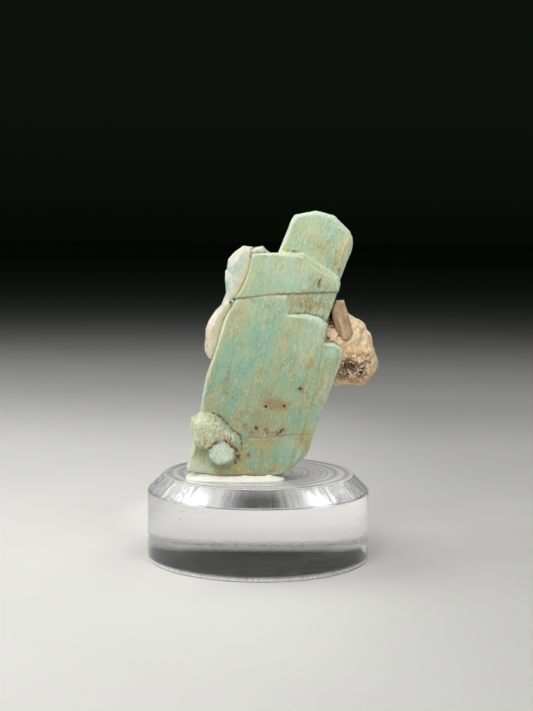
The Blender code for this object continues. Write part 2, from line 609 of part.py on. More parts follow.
def main():
    """Build every piece."""
    clear_scene()
    feldspar_neighbours = [LOWER_CRYSTAL, UPPER_CRYSTAL, UPPER_CRYSTAL_STEM, SHOULDER, TOP_CRYSTAL]
    left_neighbours = feldspar_neighbours + FELDSPAR_BLOCKS
    right_neighbours = [LOWER_CRYSTAL, UPPER_CRYSTAL, UPPER_CRYSTAL_STEM, TOP_CRYSTAL]
    rock_neighbours = AMAZONITE_BLOCKS + FELDSPAR_BLOCKS + LEFT_QUARTZ_BLOCKS + [RIGHT_QUARTZ]
    pieces = [
        turned_disc(),
        mounting_putty(),
        amazonite(),
        crystal_group("pale_feldspar", FELDSPAR_BLOCKS, feldspar_neighbours),
        crystal_group("smoky_quartz_left", LEFT_QUARTZ_BLOCKS, left_neighbours),
        crystal_group("smoky_quartz_right", [RIGHT_QUARTZ], right_neighbours),
        matrix_rock(rock_neighbours),
    ]
    finish(pieces)


main()
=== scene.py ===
"""Looks of the amazonite crystal group with smoky quartz on its clear acrylic base.

Lengths are millimetres unless a name says otherwise; MM turns them into the scene's metres. X runs to the right,
Y away from the viewer and Z up, as in the CAD frame.
"""
import math

import bmesh
import bpy
import numpy as np
from mathutils import Matrix, Vector
from mathutils.bvhtree import BVHTree


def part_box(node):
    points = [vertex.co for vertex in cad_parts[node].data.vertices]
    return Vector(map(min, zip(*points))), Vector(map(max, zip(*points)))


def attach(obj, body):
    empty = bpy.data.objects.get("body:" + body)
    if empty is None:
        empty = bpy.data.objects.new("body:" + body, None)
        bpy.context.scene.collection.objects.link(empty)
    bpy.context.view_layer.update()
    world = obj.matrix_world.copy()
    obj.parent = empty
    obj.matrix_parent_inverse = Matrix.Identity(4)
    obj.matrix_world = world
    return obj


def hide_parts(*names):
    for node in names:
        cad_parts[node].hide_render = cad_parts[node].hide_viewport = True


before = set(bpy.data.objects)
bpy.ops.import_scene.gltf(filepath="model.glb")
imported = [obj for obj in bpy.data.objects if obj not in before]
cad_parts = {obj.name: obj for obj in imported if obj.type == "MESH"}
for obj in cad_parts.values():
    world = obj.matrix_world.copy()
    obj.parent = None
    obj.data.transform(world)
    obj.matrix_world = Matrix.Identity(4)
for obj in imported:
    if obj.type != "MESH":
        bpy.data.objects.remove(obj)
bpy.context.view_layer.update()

MM = 0.001
LEAN = math.radians(17.0)  # the crystals' growth direction, from upright towards the right


# Numbers and noise

def smooth(values, low, high):
    """Smooth step from 0 at low to 1 at high."""
    share = np.clip((values - low) / (high - low), 0.0, 1.0)
    return share * share * (3.0 - 2.0 * share)


def lattice(cell, seed):
    """A fixed random whole number for each lattice cell."""
    mixed = (cell[:, 0] * 73856093) ^ (cell[:, 1] * 19349663) ^ (cell[:, 2] * 83492791) ^ (seed * 2654435761)
    mixed = (mixed ^ (mixed >> 13)) * 1274126177
    return (mixed ^ (mixed >> 16)) & 0x7FFFFFFF


def noise(points, size, seed=0):
    """Gradient noise between about -1 and 1, with features of the given size."""
    scaled = points / size
    cell = np.floor(scaled).astype(np.int64)
    inside = scaled - cell
    ease = inside ** 3 * (inside * (inside * 6.0 - 15.0) + 10.0)
    total = np.zeros(len(points))
    for step in np.ndindex(2, 2, 2):
        corner = np.array(step)
        number = lattice(cell + corner, seed)
        slope = np.stack([(number & 1023), (number >> 10) & 1023, (number >> 20) & 1023], 1) / 511.5 - 1.0
        share = np.prod(np.where(corner, ease, 1.0 - ease), axis=1)
        total += share * np.sum(slope * (inside - corner), axis=1)
    return total * 1.6


def layered(points, size, octaves, seed=0, fall=0.5):
    """Several octaves of noise, each half the size of the last."""
    total = np.zeros(len(points))
    for octave in range(octaves):
        total += noise(points, size / 2 ** octave, seed + octave) * fall ** octave
    return total


def cells(points, size, seed=0):
    """Distance to the nearest and the second nearest of scattered seeds, and a number for the nearest."""
    scaled = points / size
    cell = np.floor(scaled).astype(np.int64)
    first = np.full(len(points), 9.0)
    second = np.full(len(points), 9.0)
    owner = np.zeros(len(points))
    for step in np.ndindex(3, 3, 3):
        near = cell + np.array(step) - 1
        number = lattice(near, seed)
        place = near + np.stack([(number & 1023), (number >> 10) & 1023, (number >> 20) & 1023], 1) / 1023.0
        gap = np.linalg.norm(place - scaled, axis=1)
        closer = gap < first
        second = np.where(closer, first, np.minimum(second, gap))
        owner = np.where(closer, (number >> 7) % 1000 / 999.0, owner)
        first = np.where(closer, gap, first)
    return first, second, owner


def along_growth(points, across, deep, along):
    """Points in the crystals' own directions, with each divided by a stretch."""
    sine, cosine = math.sin(LEAN), math.cos(LEAN)
    x, y, z = points.T
    return np.stack([(x * cosine - z * sine) / across, y / deep, (x * sine + z * cosine) / along], 1)


# Meshes

def linked(name, mesh):
    """An object of the scene with this mesh."""
    piece = bpy.data.objects.new(name, mesh)
    bpy.context.scene.collection.objects.link(piece)
    return piece


def with_modifiers(piece):
    """The piece with its modifiers applied."""
    bpy.context.view_layer.update()
    graph = bpy.context.evaluated_depsgraph_get()
    mesh = bpy.data.meshes.new_from_object(piece.evaluated_get(graph))
    piece.modifiers.clear()
    piece.data = mesh
    return piece


def voxel_copy(node, name, voxel):
    """A copy of a CAD node, remeshed into small squares of even size."""
    shape = bmesh.new()
    shape.from_mesh(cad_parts[node].data)
    bmesh.ops.remove_doubles(shape, verts=shape.verts, dist=1e-7)
    mesh = bpy.data.meshes.new(name)
    shape.to_mesh(mesh)
    shape.free()
    piece = linked(name, mesh)
    remesh = piece.modifiers.new("voxels", "REMESH")
    remesh.mode = "VOXEL"
    remesh.voxel_size = voxel * MM
    remesh.use_smooth_shade = True
    return with_modifiers(piece)


class Skin:
    """A mesh's points in millimetres, for shaping and marking them."""

    def __init__(self, piece):
        self.mesh = piece.data
        count = len(self.mesh.vertices)
        flat = np.zeros(count * 3, np.float32)
        self.mesh.vertices.foreach_get("co", flat)
        self.points = flat.reshape(-1, 3).astype(float) / MM
        ends = np.zeros(len(self.mesh.edges) * 2, np.int32)
        self.mesh.edges.foreach_get("vertices", ends)
        self.ends = ends.reshape(-1, 2)
        self.degree = np.maximum(np.bincount(ends, minlength=count), 1)
        self.read_normals()

    def read_normals(self):
        """Read the points' normals again after a change."""
        flat = np.zeros(len(self.points) * 3, np.float32)
        self.mesh.vertex_normals.foreach_get("vector", flat)
        self.normals = flat.reshape(-1, 3).astype(float)

    def neighbours(self, values):
        """Mean of the neighbours' values."""
        first, second = self.ends.T
        count = len(self.points)
        total = np.bincount(first, values[second], count) + np.bincount(second, values[first], count)
        return total / self.degree

    def spread(self, values, rounds):
        """Values smoothed over the surface."""
        for _ in range(rounds):
            values = 0.5 * values + 0.5 * self.neighbours(values)
        return values

    def bulge(self, rounds):
        """How far the surface bulges (above 0) or is hollow (below 0), seen over so many rounds of smoothing."""
        away = np.zeros(len(self.points))
        for axis in range(3):
            values = self.points[:, axis]
            away += (values - self.spread(values, rounds)) * self.normals[:, axis]
        return away

    def move(self, distance):
        """Move the points out along their normals."""
        self.points += self.normals * distance[:, None]
        self.write()

    def write(self):
        """Write the points to the mesh."""
        self.mesh.vertices.foreach_set("co", (self.points * MM).astype(np.float32).ravel())
        self.mesh.update()
        self.read_normals()

    def mark(self, name, values):
        """Keep a number for each point, for the material to read."""
        layer = self.mesh.attributes.get(name) or self.mesh.attributes.new(name, "FLOAT", "POINT")
        layer.data.foreach_set("value", np.clip(values, -1.0, 1.0).astype(np.float32))


def tree_of(node):
    """A search tree of a CAD node's surface."""
    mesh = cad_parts[node].data
    return BVHTree.FromPolygons([vertex.co for vertex in mesh.vertices], [face.vertices for face in mesh.polygons])


def nearest_on(points, node):
    """Distance in millimetres from each point to a CAD node's surface, and the direction towards it."""
    far = 5.0
    tree = tree_of(node)
    distance = np.full(len(points), far)
    direction = np.zeros((len(points), 3))
    for index, point in enumerate(points * MM):
        place, _, _, away = tree.find_nearest(Vector(point), far * MM)
        if place is not None:
            distance[index] = away / MM
            direction[index] = (np.array(place) - point) / max(away, 1e-9)
    return distance, direction


def meet(skin, nodes, reach=0.75, into=0.06):
    """Draw the surface that faces other nodes from less than the reach into them, to close the CAD gaps."""
    near = np.full(len(skin.points), 9.0)
    towards = np.zeros((len(skin.points), 3))
    for node in nodes:
        distance, direction = nearest_on(skin.points, node)
        towards = np.where((distance < near)[:, None], direction, towards)
        near = np.minimum(near, distance)
    facing = np.sum(towards * skin.normals, axis=1)
    share = (1.0 - smooth(near, 0.6 * reach, reach)) * smooth(facing, 0.1, 0.5)
    skin.points += towards * ((near + into) * share)[:, None]
    skin.write()
    return near


def fill_join(skin, nodes, proud):
    """Carry the front surface next to other nodes on into them, a little proud, and mark the join."""
    near = meet(skin, nodes)
    front = smooth(-skin.normals[:, 1], 0.1, 0.5)
    join = skin.spread((1.0 - smooth(near, 0.4, 1.7)) * front, 2)
    skin.points[:, 1] -= proud * join
    skin.write()
    meet(skin, nodes, 1.1, 0.06 + 0.74 * smooth(-skin.points[:, 2], -53.8, -52.6))
    skin.mark("join", join)
    return join


def smooth_faces(piece):
    """Shade the whole piece smooth."""
    piece.data.polygons.foreach_set("use_smooth", np.ones(len(piece.data.polygons), bool))


# Zones of colour and damage

def spots(points, listed, rough):
    """Soft leaning ellipses: x, z, half width, half height, strength. Rough breaks up their edges."""
    x = points[:, 0] + rough * noise(points, 1.3, 31) + 0.4 * rough * noise(points, 0.4, 33)
    z = points[:, 2] + rough * noise(points, 1.3, 32) + 0.4 * rough * noise(points, 0.4, 34)
    result = np.zeros(len(points))
    for centre_x, centre_z, half_width, half_height, strength in listed:
        right, up = x - centre_x, z - centre_z
        across = (right * math.cos(LEAN) - up * math.sin(LEAN)) / half_width
        along = (right * math.sin(LEAN) + up * math.cos(LEAN)) / half_height
        result = np.maximum(result, strength * (1.0 - smooth(np.hypot(across, along), 0.35, 1.15)))
    return result


def near_line(points, route, width, rough=0.0):
    """1 on a line of (x, z) points, seen from the front, and 0 beyond its half width."""
    place = points[:, [0, 2]] + rough * np.stack([noise(points, 0.9, 41), noise(points, 0.9, 42)], 1)
    nearest = np.full(len(points), 99.0)
    for start, end in zip(route, route[1:]):
        start, edge = np.array(start), np.array(end) - np.array(start)
        share = np.clip((place - start) @ edge / (edge @ edge), 0.0, 1.0)
        nearest = np.minimum(nearest, np.linalg.norm(place - start - share[:, None] * edge, axis=1))
    return 1.0 - smooth(nearest, 0.3 * width, width)


# Materials

def paint(red, green, blue):
    """A colour from its values between 0 and 255, as seen."""
    values = np.array([red, green, blue]) / 255.0
    values = np.where(values <= 0.04045, values / 12.92, ((values + 0.055) / 1.055) ** 2.4)
    return (*values, 1.0)


class Look:
    """A material and short ways to add its nodes."""

    def __init__(self, name):
        self.material = bpy.data.materials.new(name)
        self.material.use_nodes = True
        self.tree = self.material.node_tree
        self.shader = self.tree.nodes["Principled BSDF"]
        self.output = self.tree.nodes["Material Output"]
        self.place = self.node("ShaderNodeTexCoord").outputs["Object"]

    def node(self, kind, **settings):
        made = self.tree.nodes.new(kind)
        for name, value in settings.items():
            setattr(made, name, value)
        return made

    def feed(self, socket, value):
        """Link a value to a socket, or set it."""
        if isinstance(value, bpy.types.NodeSocket):
            self.tree.links.new(value, socket)
        else:
            socket.default_value = value

    def set(self, **values):
        """Set or link the shader's sockets; an underscore stands for a space."""
        for name, value in values.items():
            self.feed(self.shader.inputs[name.replace("_", " ")], value)

    def mark(self, name):
        """A number kept for each point."""
        return self.node("ShaderNodeAttribute", attribute_name=name).outputs["Fac"]

    def math(self, operation, first, second=0.0, third=0.0, clamp=False):
        made = self.node("ShaderNodeMath", operation=operation, use_clamp=clamp)
        for socket, value in zip(made.inputs, (first, second, third)):
            self.feed(socket, value)
        return made.outputs[0]

    def span(self, value, low, high, to_low=0.0, to_high=1.0):
        """Bring a value from one range to another, held within it."""
        made = self.node("ShaderNodeMapRange", interpolation_type="SMOOTHSTEP")
        for name, number in (("Value", value), ("From Min", low), ("From Max", high), ("To Min", to_low),
                             ("To Max", to_high)):
            self.feed(made.inputs[name], number)
        return made.outputs[0]

    def noise(self, size, detail=4.0, rough=0.55, stretch=(1.0, 1.0, 1.0), lean=LEAN, twist=0.0, seed=0.0):
        """Noise with features of the given size in millimetres, stretched in the crystals' directions."""
        turned = self.node("ShaderNodeMapping")
        self.feed(turned.inputs["Vector"], self.place)
        turned.inputs["Rotation"].default_value = (0.0, -lean, 0.0)
        turned.inputs["Location"].default_value = (seed, 0.37 * seed, -0.61 * seed)
        scaled = self.node("ShaderNodeVectorMath", operation="MULTIPLY")
        self.feed(scaled.inputs[0], turned.outputs[0])
        scaled.inputs[1].default_value = tuple(1.0 / (size * MM * part) for part in stretch)
        made = self.node("ShaderNodeTexNoise")
        self.feed(made.inputs["Vector"], scaled.outputs[0])
        for name, value in (("Scale", 1.0), ("Detail", detail), ("Roughness", rough), ("Distortion", twist)):
            made.inputs[name].default_value = value
        return made.outputs["Fac"]

    def grains(self, size, feature="F1", seed=0.0):
        """Distance to scattered points, at the given size in millimetres."""
        made = self.node("ShaderNodeTexVoronoi", feature=feature)
        moved = self.node("ShaderNodeVectorMath", operation="ADD")
        self.feed(moved.inputs[0], self.place)
        moved.inputs[1].default_value = (seed, seed, seed)
        self.feed(made.inputs["Vector"], moved.outputs[0])
        made.inputs["Scale"].default_value = 1.0 / (size * MM)
        return made.outputs["Distance"]

    def mix(self, share, first, second, kind="MIX"):
        """Mix two colours."""
        made = self.node("ShaderNodeMix", data_type="RGBA", blend_type=kind, clamp_factor=True)
        self.feed(made.inputs["Factor"], share)
        self.feed(made.inputs[6], first)
        self.feed(made.inputs[7], second)
        return made.outputs[2]

    def ramp(self, value, *stops):
        """A colour from a value through (position, colour) stops."""
        made = self.node("ShaderNodeValToRGB")
        self.feed(made.inputs[0], value)
        elements = made.color_ramp.elements
        elements[0].position, elements[0].color = stops[0]
        elements[1].position, elements[1].color = stops[-1]
        for position, colour in stops[1:-1]:
            elements.new(position).color = colour
        return made.outputs[0]

    def bump(self, *layers):
        """Raise the surface by several (height, size in millimetres) layers, one over another."""
        last = None
        for height, depth in layers:
            made = self.node("ShaderNodeBump")
            made.inputs["Strength"].default_value = 1.0
            made.inputs["Distance"].default_value = depth * MM
            self.feed(made.inputs["Height"], height)
            if last is not None:
                self.feed(made.inputs["Normal"], last)
            last = made.outputs[0]
        self.set(Normal=last)

    def give(self, piece):
        piece.data.materials.clear()
        piece.data.materials.append(self.material)


# Amazonite

TURQUOISE_ZONES = [
    (1.5, 40.8, 0.9, 5.8, 1.0), (-3.0, 35.0, 2.1, 2.0, 0.9), (-7.5, 34.4, 0.7, 2.4, 0.9), (-8.9, 30.9, 0.7, 2.2, 0.9),
    (0.2, 46.2, 2.2, 1.3, 0.7), (5.6, 36.6, 0.9, 1.0, 0.7), (4.2, 33.2, 0.7, 2.0, 0.6), (7.3, 32.6, 1.1, 1.1, 0.7),
    (5.6, 20.0, 2.4, 1.5, 1.0), (3.1, 19.6, 1.2, 1.3, 0.8), (6.4, 26.4, 1.5, 1.8, 0.8), (10.3, 27.2, 1.1, 1.9, 0.8),
    (3.1, 54.2, 1.3, 0.8, 0.9), (12.6, 59.2, 1.6, 1.4, 0.9), (10.0, 61.8, 2.6, 1.0, 0.8), (6.6, 56.6, 1.1, 0.9, 0.5),
    (9.4, 43.6, 1.9, 0.7, 0.9), (11.2, 42.4, 0.7, 1.1, 0.8), (12.3, 38.0, 1.5, 1.1, 0.9), (-4.6, 38.0, 2.0, 2.6, 0.7),
    (-4.6, 30.0, 1.6, 3.4, 0.6), (2.5, 16.8, 1.3, 0.7, 0.5), (-6.2, 24.6, 1.2, 0.7, 0.5), (12.0, 53.6, 0.8, 1.6, 0.4),
    (-0.6, 41.0, 1.6, 4.2, 0.7), (-5.6, 34.4, 2.4, 2.8, 0.6), (-1.0, 36.6, 1.4, 2.6, 0.5),
]
OLIVE_ZONES = [
    (-8.2, 36.6, 0.55, 6.6, 0.9), (-6.0, 43.0, 0.6, 2.4, 0.8), (-1.0, 52.0, 0.8, 3.4, 0.7), (8.2, 46.3, 4.4, 1.6, 1.0),
    (8.7, 36.4, 1.6, 2.0, 0.8), (10.6, 31.5, 0.9, 4.0, 0.7), (9.6, 51.6, 3.6, 2.2, 0.5), (6.6, 52.4, 0.6, 2.0, 0.7),
    (13.9, 55.4, 0.5, 2.6, 0.9), (11.0, 55.4, 1.6, 1.7, 0.7), (7.5, 22.0, 0.9, 3.4, 0.6), (-10.8, 19.6, 1.8, 1.6, 0.1),
    (-7.6, 17.4, 3.6, 0.8, 0.2), (-2.4, 17.2, 2.6, 1.3, 0.7), (1.0, 21.8, 2.2, 1.5, 0.7), (2.6, 17.4, 0.5, 0.9, 0.9),
    (-10.6, 24.6, 1.4, 2.2, 0.8), (4.2, 39.6, 1.3, 2.6, 0.5), (6.6, 41.6, 1.4, 1.8, 0.5), (-3.2, 43.4, 1.6, 1.2, 0.6),
    (4.3, 55.5, 0.5, 0.5, 1.0), (8.6, 22.6, 0.7, 3.2, 0.8), (-2.6, 45.0, 1.2, 0.9, 0.7), (6.6, 55.5, 0.5, 0.3, 1.0),
    (-2.2, 49.4, 0.9, 1.3, 0.9), (8.4, 46.2, 4.2, 1.2, 0.6), (14.0, 54.2, 0.7, 2.4, 0.9), (9.8, 57.4, 2.0, 1.4, 0.5), (-1.6, 54.9, 1.2, 0.6, 0.8),
]
# Pale patches: some are the stone's own whitish colour, some are painted light on faces the lamps leave dim.
PALE_ZONES = [
    (9.4, 43.5, 2.0, 0.8, 0.8), (10.8, 42.4, 0.9, 1.5, 0.7), (10.2, 61.6, 3.6, 0.9, 0.5), (-6.2, 20.2, 2.4, 2.2, 0.9),
    (-9.4, 24.6, 2.8, 2.6, 0.6), (12.6, 37.9, 1.6, 1.3, 0.4), (11.0, 50.6, 2.4, 1.2, 0.4), (4.5, 54.6, 3.2, 0.6, 0.5),
    (-10.4, 17.6, 3.4, 2.0, 0.8), (8.6, 39.4, 2.2, 4.0, 0.3), (5.5, 51.6, 6.5, 3.2, 0.3), (10.5, 59.5, 5.0, 3.0, 0.25),
    (11.4, 29.0, 1.8, 8.0, 0.4), (6.0, 20.5, 3.0, 2.4, 0.25), (-1.4, 51.4, 0.7, 3.4, 0.5), (15.2, 55.4, 1.0, 2.6, 0.5),
]
STAIN_ZONES = [
    (2.6, 28.9, 2.6, 1.5, 0.8), (1.3, 28.3, 0.5, 0.5, 1.0), (4.5, 28.3, 0.6, 0.5, 1.0), (1.4, 30.4, 1.4, 1.8, 0.4),
    (-2.4, 24.6, 0.7, 0.8, 0.7), (-1.1, 23.6, 0.8, 0.5, 0.9), (-0.3, 24.5, 0.5, 0.7, 0.8), (1.4, 24.1, 0.9, 0.5, 0.8),
    (3.7, 23.7, 1.3, 0.7, 0.9), (-5.7, 33.6, 0.5, 2.2, 0.55), (-5.7, 30.8, 0.5, 0.5, 0.6), (7.2, 31.3, 1.3, 0.5, 0.6),
    (1.9, 22.4, 1.1, 0.8, 0.5), (-1.8, 19.8, 0.4, 0.4, 0.8), (0.6, 26.2, 2.8, 2.2, 0.4), (8.8, 35.9, 0.9, 1.1, 0.5),
    (10.9, 29.4, 0.8, 0.9, 0.5), (10.35, 49.9, 0.4, 1.0, 0.5), (10.8, 56.0, 0.7, 0.7, 0.3),
    (-1.6, 47.0, 1.2, 0.5, 0.7), (-3.4, 44.7, 0.9, 0.8, 0.5), (13.9, 52.0, 0.4, 0.8, 0.35), (6.2, 55.2, 0.9, 0.3, 1.0),
    (2.5, 17.3, 0.4, 0.8, 0.6), (-7.6, 17.7, 1.3, 0.5, 0.6), (8.4, 20.4, 1.0, 0.4, 0.5),
]
PITS = [  # x, z, radius
    (4.3, 24.25, 0.22), (3.95, 23.95, 0.22), (3.6, 23.7, 0.2), (3.25, 23.45, 0.2), (1.5, 24.1, 0.2), (1.2, 24.25, 0.14),
    (-0.4, 24.5, 0.24), (-1.1, 23.7, 0.16), (1.3, 28.3, 0.22), (4.5, 28.4, 0.24), (7.3, 31.4, 0.2), (7.0, 31.5, 0.14),
    (-1.8, 19.8, 0.2), (10.45, 50.3, 0.13), (10.4, 50.05, 0.13), (10.35, 49.8, 0.14),
    (10.3, 49.55, 0.12), (10.3, 49.3, 0.1), (-2.5, 24.9, 0.12), (2.2, 28.0, 0.1), (2.9, 28.8, 0.1), (5.3, 28.9, 0.1),
    (-5.6, 33.0, 0.12), (13.9, 52.1, 0.14), (2.0, 30.3, 0.1), (-3.2, 19.0, 0.12),
]
# Pale lines along the outlines and the ledge: partly the stone's pale rims, partly painted rim highlight.
PALE_LINES = [  # a route and its half width
    ([(-12.3, 17.6), (-11.4, 21.5), (-10.4, 25.5), (-10.0, 30.0), (-9.3, 33.6), (-7.1, 39.9), (-5.4, 44.6)], 0.3),
    ([(4.9, 44.15), (8.5, 44.2), (10.5, 43.6), (11.8, 42.6)], 0.3),
    ([(8.9, 20.0), (10.6, 25.0), (12.4, 31.0), (14.3, 37.0), (14.2, 38.6), (12.2, 39.3)], 0.35),
    ([(-1.6, 54.8), (7.6, 54.9), (10.9, 52.7), (14.0, 50.6)], 0.22),
    ([(3.4, 55.2), (5.7, 60.8), (6.2, 61.5), (9.7, 62.2), (13.1, 61.4), (15.8, 58.6), (16.2, 56.2), (15.6, 53.0)], 0.3),
]
# Route of the shadow line painted along the ledge's step.
LEDGE = [(4.9, 44.5), (8.4, 44.55), (10.6, 44.0), (11.9, 43.0)]
WORN_ZONES = [
    (12.6, 55.2, 2.4, 2.2, 0.5), (8.6, 46.3, 4.0, 1.5, 1.0), (10.2, 43.8, 2.0, 1.3, 1.0), (2.6, 28.6, 2.8, 1.6, 0.7),
    (1.6, 24.0, 3.6, 1.0, 0.8), (10.2, 50.0, 2.6, 2.0, 0.7), (-7.6, 23.8, 4.0, 4.0, 1.0), (-5.8, 32.0, 0.9, 3.0, 0.6),
    (7.2, 31.4, 1.6, 0.9, 0.7), (-6.2, 20.4, 2.6, 2.4, 1.0), (5.8, 55.2, 2.4, 0.8, 1.0), (10.4, 30.4, 1.4, 3.0, 0.5),
]
STRIAE_ZONES = [(8.8, 46.3, 3.0, 4.6, 1.0), (12.8, 53.4, 2.0, 2.0, 0.6), (5.9, 45.6, 1.4, 2.2, 0.8),
                (11.8, 46.2, 1.6, 2.4, 1.0), (10.0, 50.6, 3.0, 2.0, 0.5), (11.2, 57.4, 2.4, 2.2, 0.4)]
# Beige strip on the top crystal's right bevel: its own colour, painted paler as painted light on a face turned from the
# lamps.
BEIGE_ZONES = [(15.2, 56.2, 1.0, 4.6, 1.0), (15.9, 57.6, 0.6, 1.6, 0.8)]
YELLOW_STREAKS = [  # fine upright streaks: a route, and its half width
    ([(13.5, 52.9), (14.1, 54.9), (14.6, 57.0)], 0.16), ([(12.8, 52.2), (13.4, 54.2)], 0.12),
    ([(14.2, 53.3), (15.0, 56.6)], 0.13), ([(5.1, 45.0), (5.5, 46.6)], 0.1), ([(6.1, 45.0), (6.9, 47.6)], 0.13),
    ([(7.4, 45.1), (8.1, 47.6)], 0.1), ([(8.6, 45.1), (9.3, 47.4)], 0.12), ([(10.2, 45.0), (11.0, 47.6)], 0.12),
    ([(11.4, 45.1), (12.1, 47.4)], 0.12), ([(7.8, 54.0), (9.0, 53.2), (10.4, 52.4)], 0.14),
]
CRACK_ROUTE = [(-4.9, 47.0), (-1.7, 47.2), (1.8, 47.7), (5.6, 48.0), (13.6, 48.25)]
# Routes of the crevices round the dome and the hexagonal crystal: stained brown, and painted dark as shadow.
DOME_RIM = [(-8.0, 27.2), (-7.3, 26.9), (-6.3, 26.2), (-4.4, 24.1), (-3.4, 23.5), (-2.9, 22.9), (-2.85, 20.8),
            (-3.5, 19.2)]
HEX_RIM = [(-8.6, 21.2), (-7.9, 21.8), (-7.2, 22.4), (-6.0, 22.75), (-5.0, 21.9), (-4.0, 21.3), (-3.8, 19.6),
           (-3.9, 18.6)]
DOME_FRONT = 11.0  # how far towards the viewer the dome's flat front reaches
# Spots painted dark for the shade in small crevices: two along the ledge, one by the pits, one by a stain.
CREVICES = [(10.4, 49.9, 0.17, 0.85, 0.9), (5.9, 55.2, 0.5, 0.16, 0.9), (5.15, 44.62, 0.4, 0.16, 0.5), (6.5, 44.7, 0.4, 0.16, 0.5)]
# Mint patches on the dome's right side: their own colour, painted paler as painted light where the dome turns from the
# lamps.
MINT_ZONES = [(-6.5, 24.9, 1.5, 0.9, 1.0), (-7.2, 25.2, 1.0, 0.6, 0.6), (-4.9, 23.6, 0.8, 0.6, 0.5)]
BROWN_SPECKS = [  # among the small crystals of the dome: x, z, half width, half height, strength
    (-10.1, 22.2, 0.35, 0.3, 1.0), (-9.1, 22.1, 0.35, 0.3, 0.9), (-9.6, 21.4, 0.4, 0.3, 1.0), (-8.8, 22.6, 0.3, 0.3, 0.9),
    (-9.2, 20.8, 0.35, 0.3, 0.8), (-7.2, 22.9, 0.4, 0.5, 0.9), (-5.8, 23.2, 0.25, 0.5, 0.9), (-5.2, 22.7, 0.35, 0.4, 1.0),
    (-3.7, 20.5, 0.3, 0.4, 1.0), (-3.1, 20.0, 0.3, 0.4, 0.8), (-6.6, 23.5, 0.2, 0.3, 0.7), (-4.5, 22.2, 0.5, 0.35, 0.9),
    (-7.5, 18.15, 0.8, 0.2, 0.7),
]
FAINT_CRACK = [(-2.6, 22.9), (1.0, 22.8), (5.0, 23.3), (8.8, 23.5)]
FOOT_MARK = [(-7.0, 16.6), (-3.0, 16.3), (1.2, 16.4)]


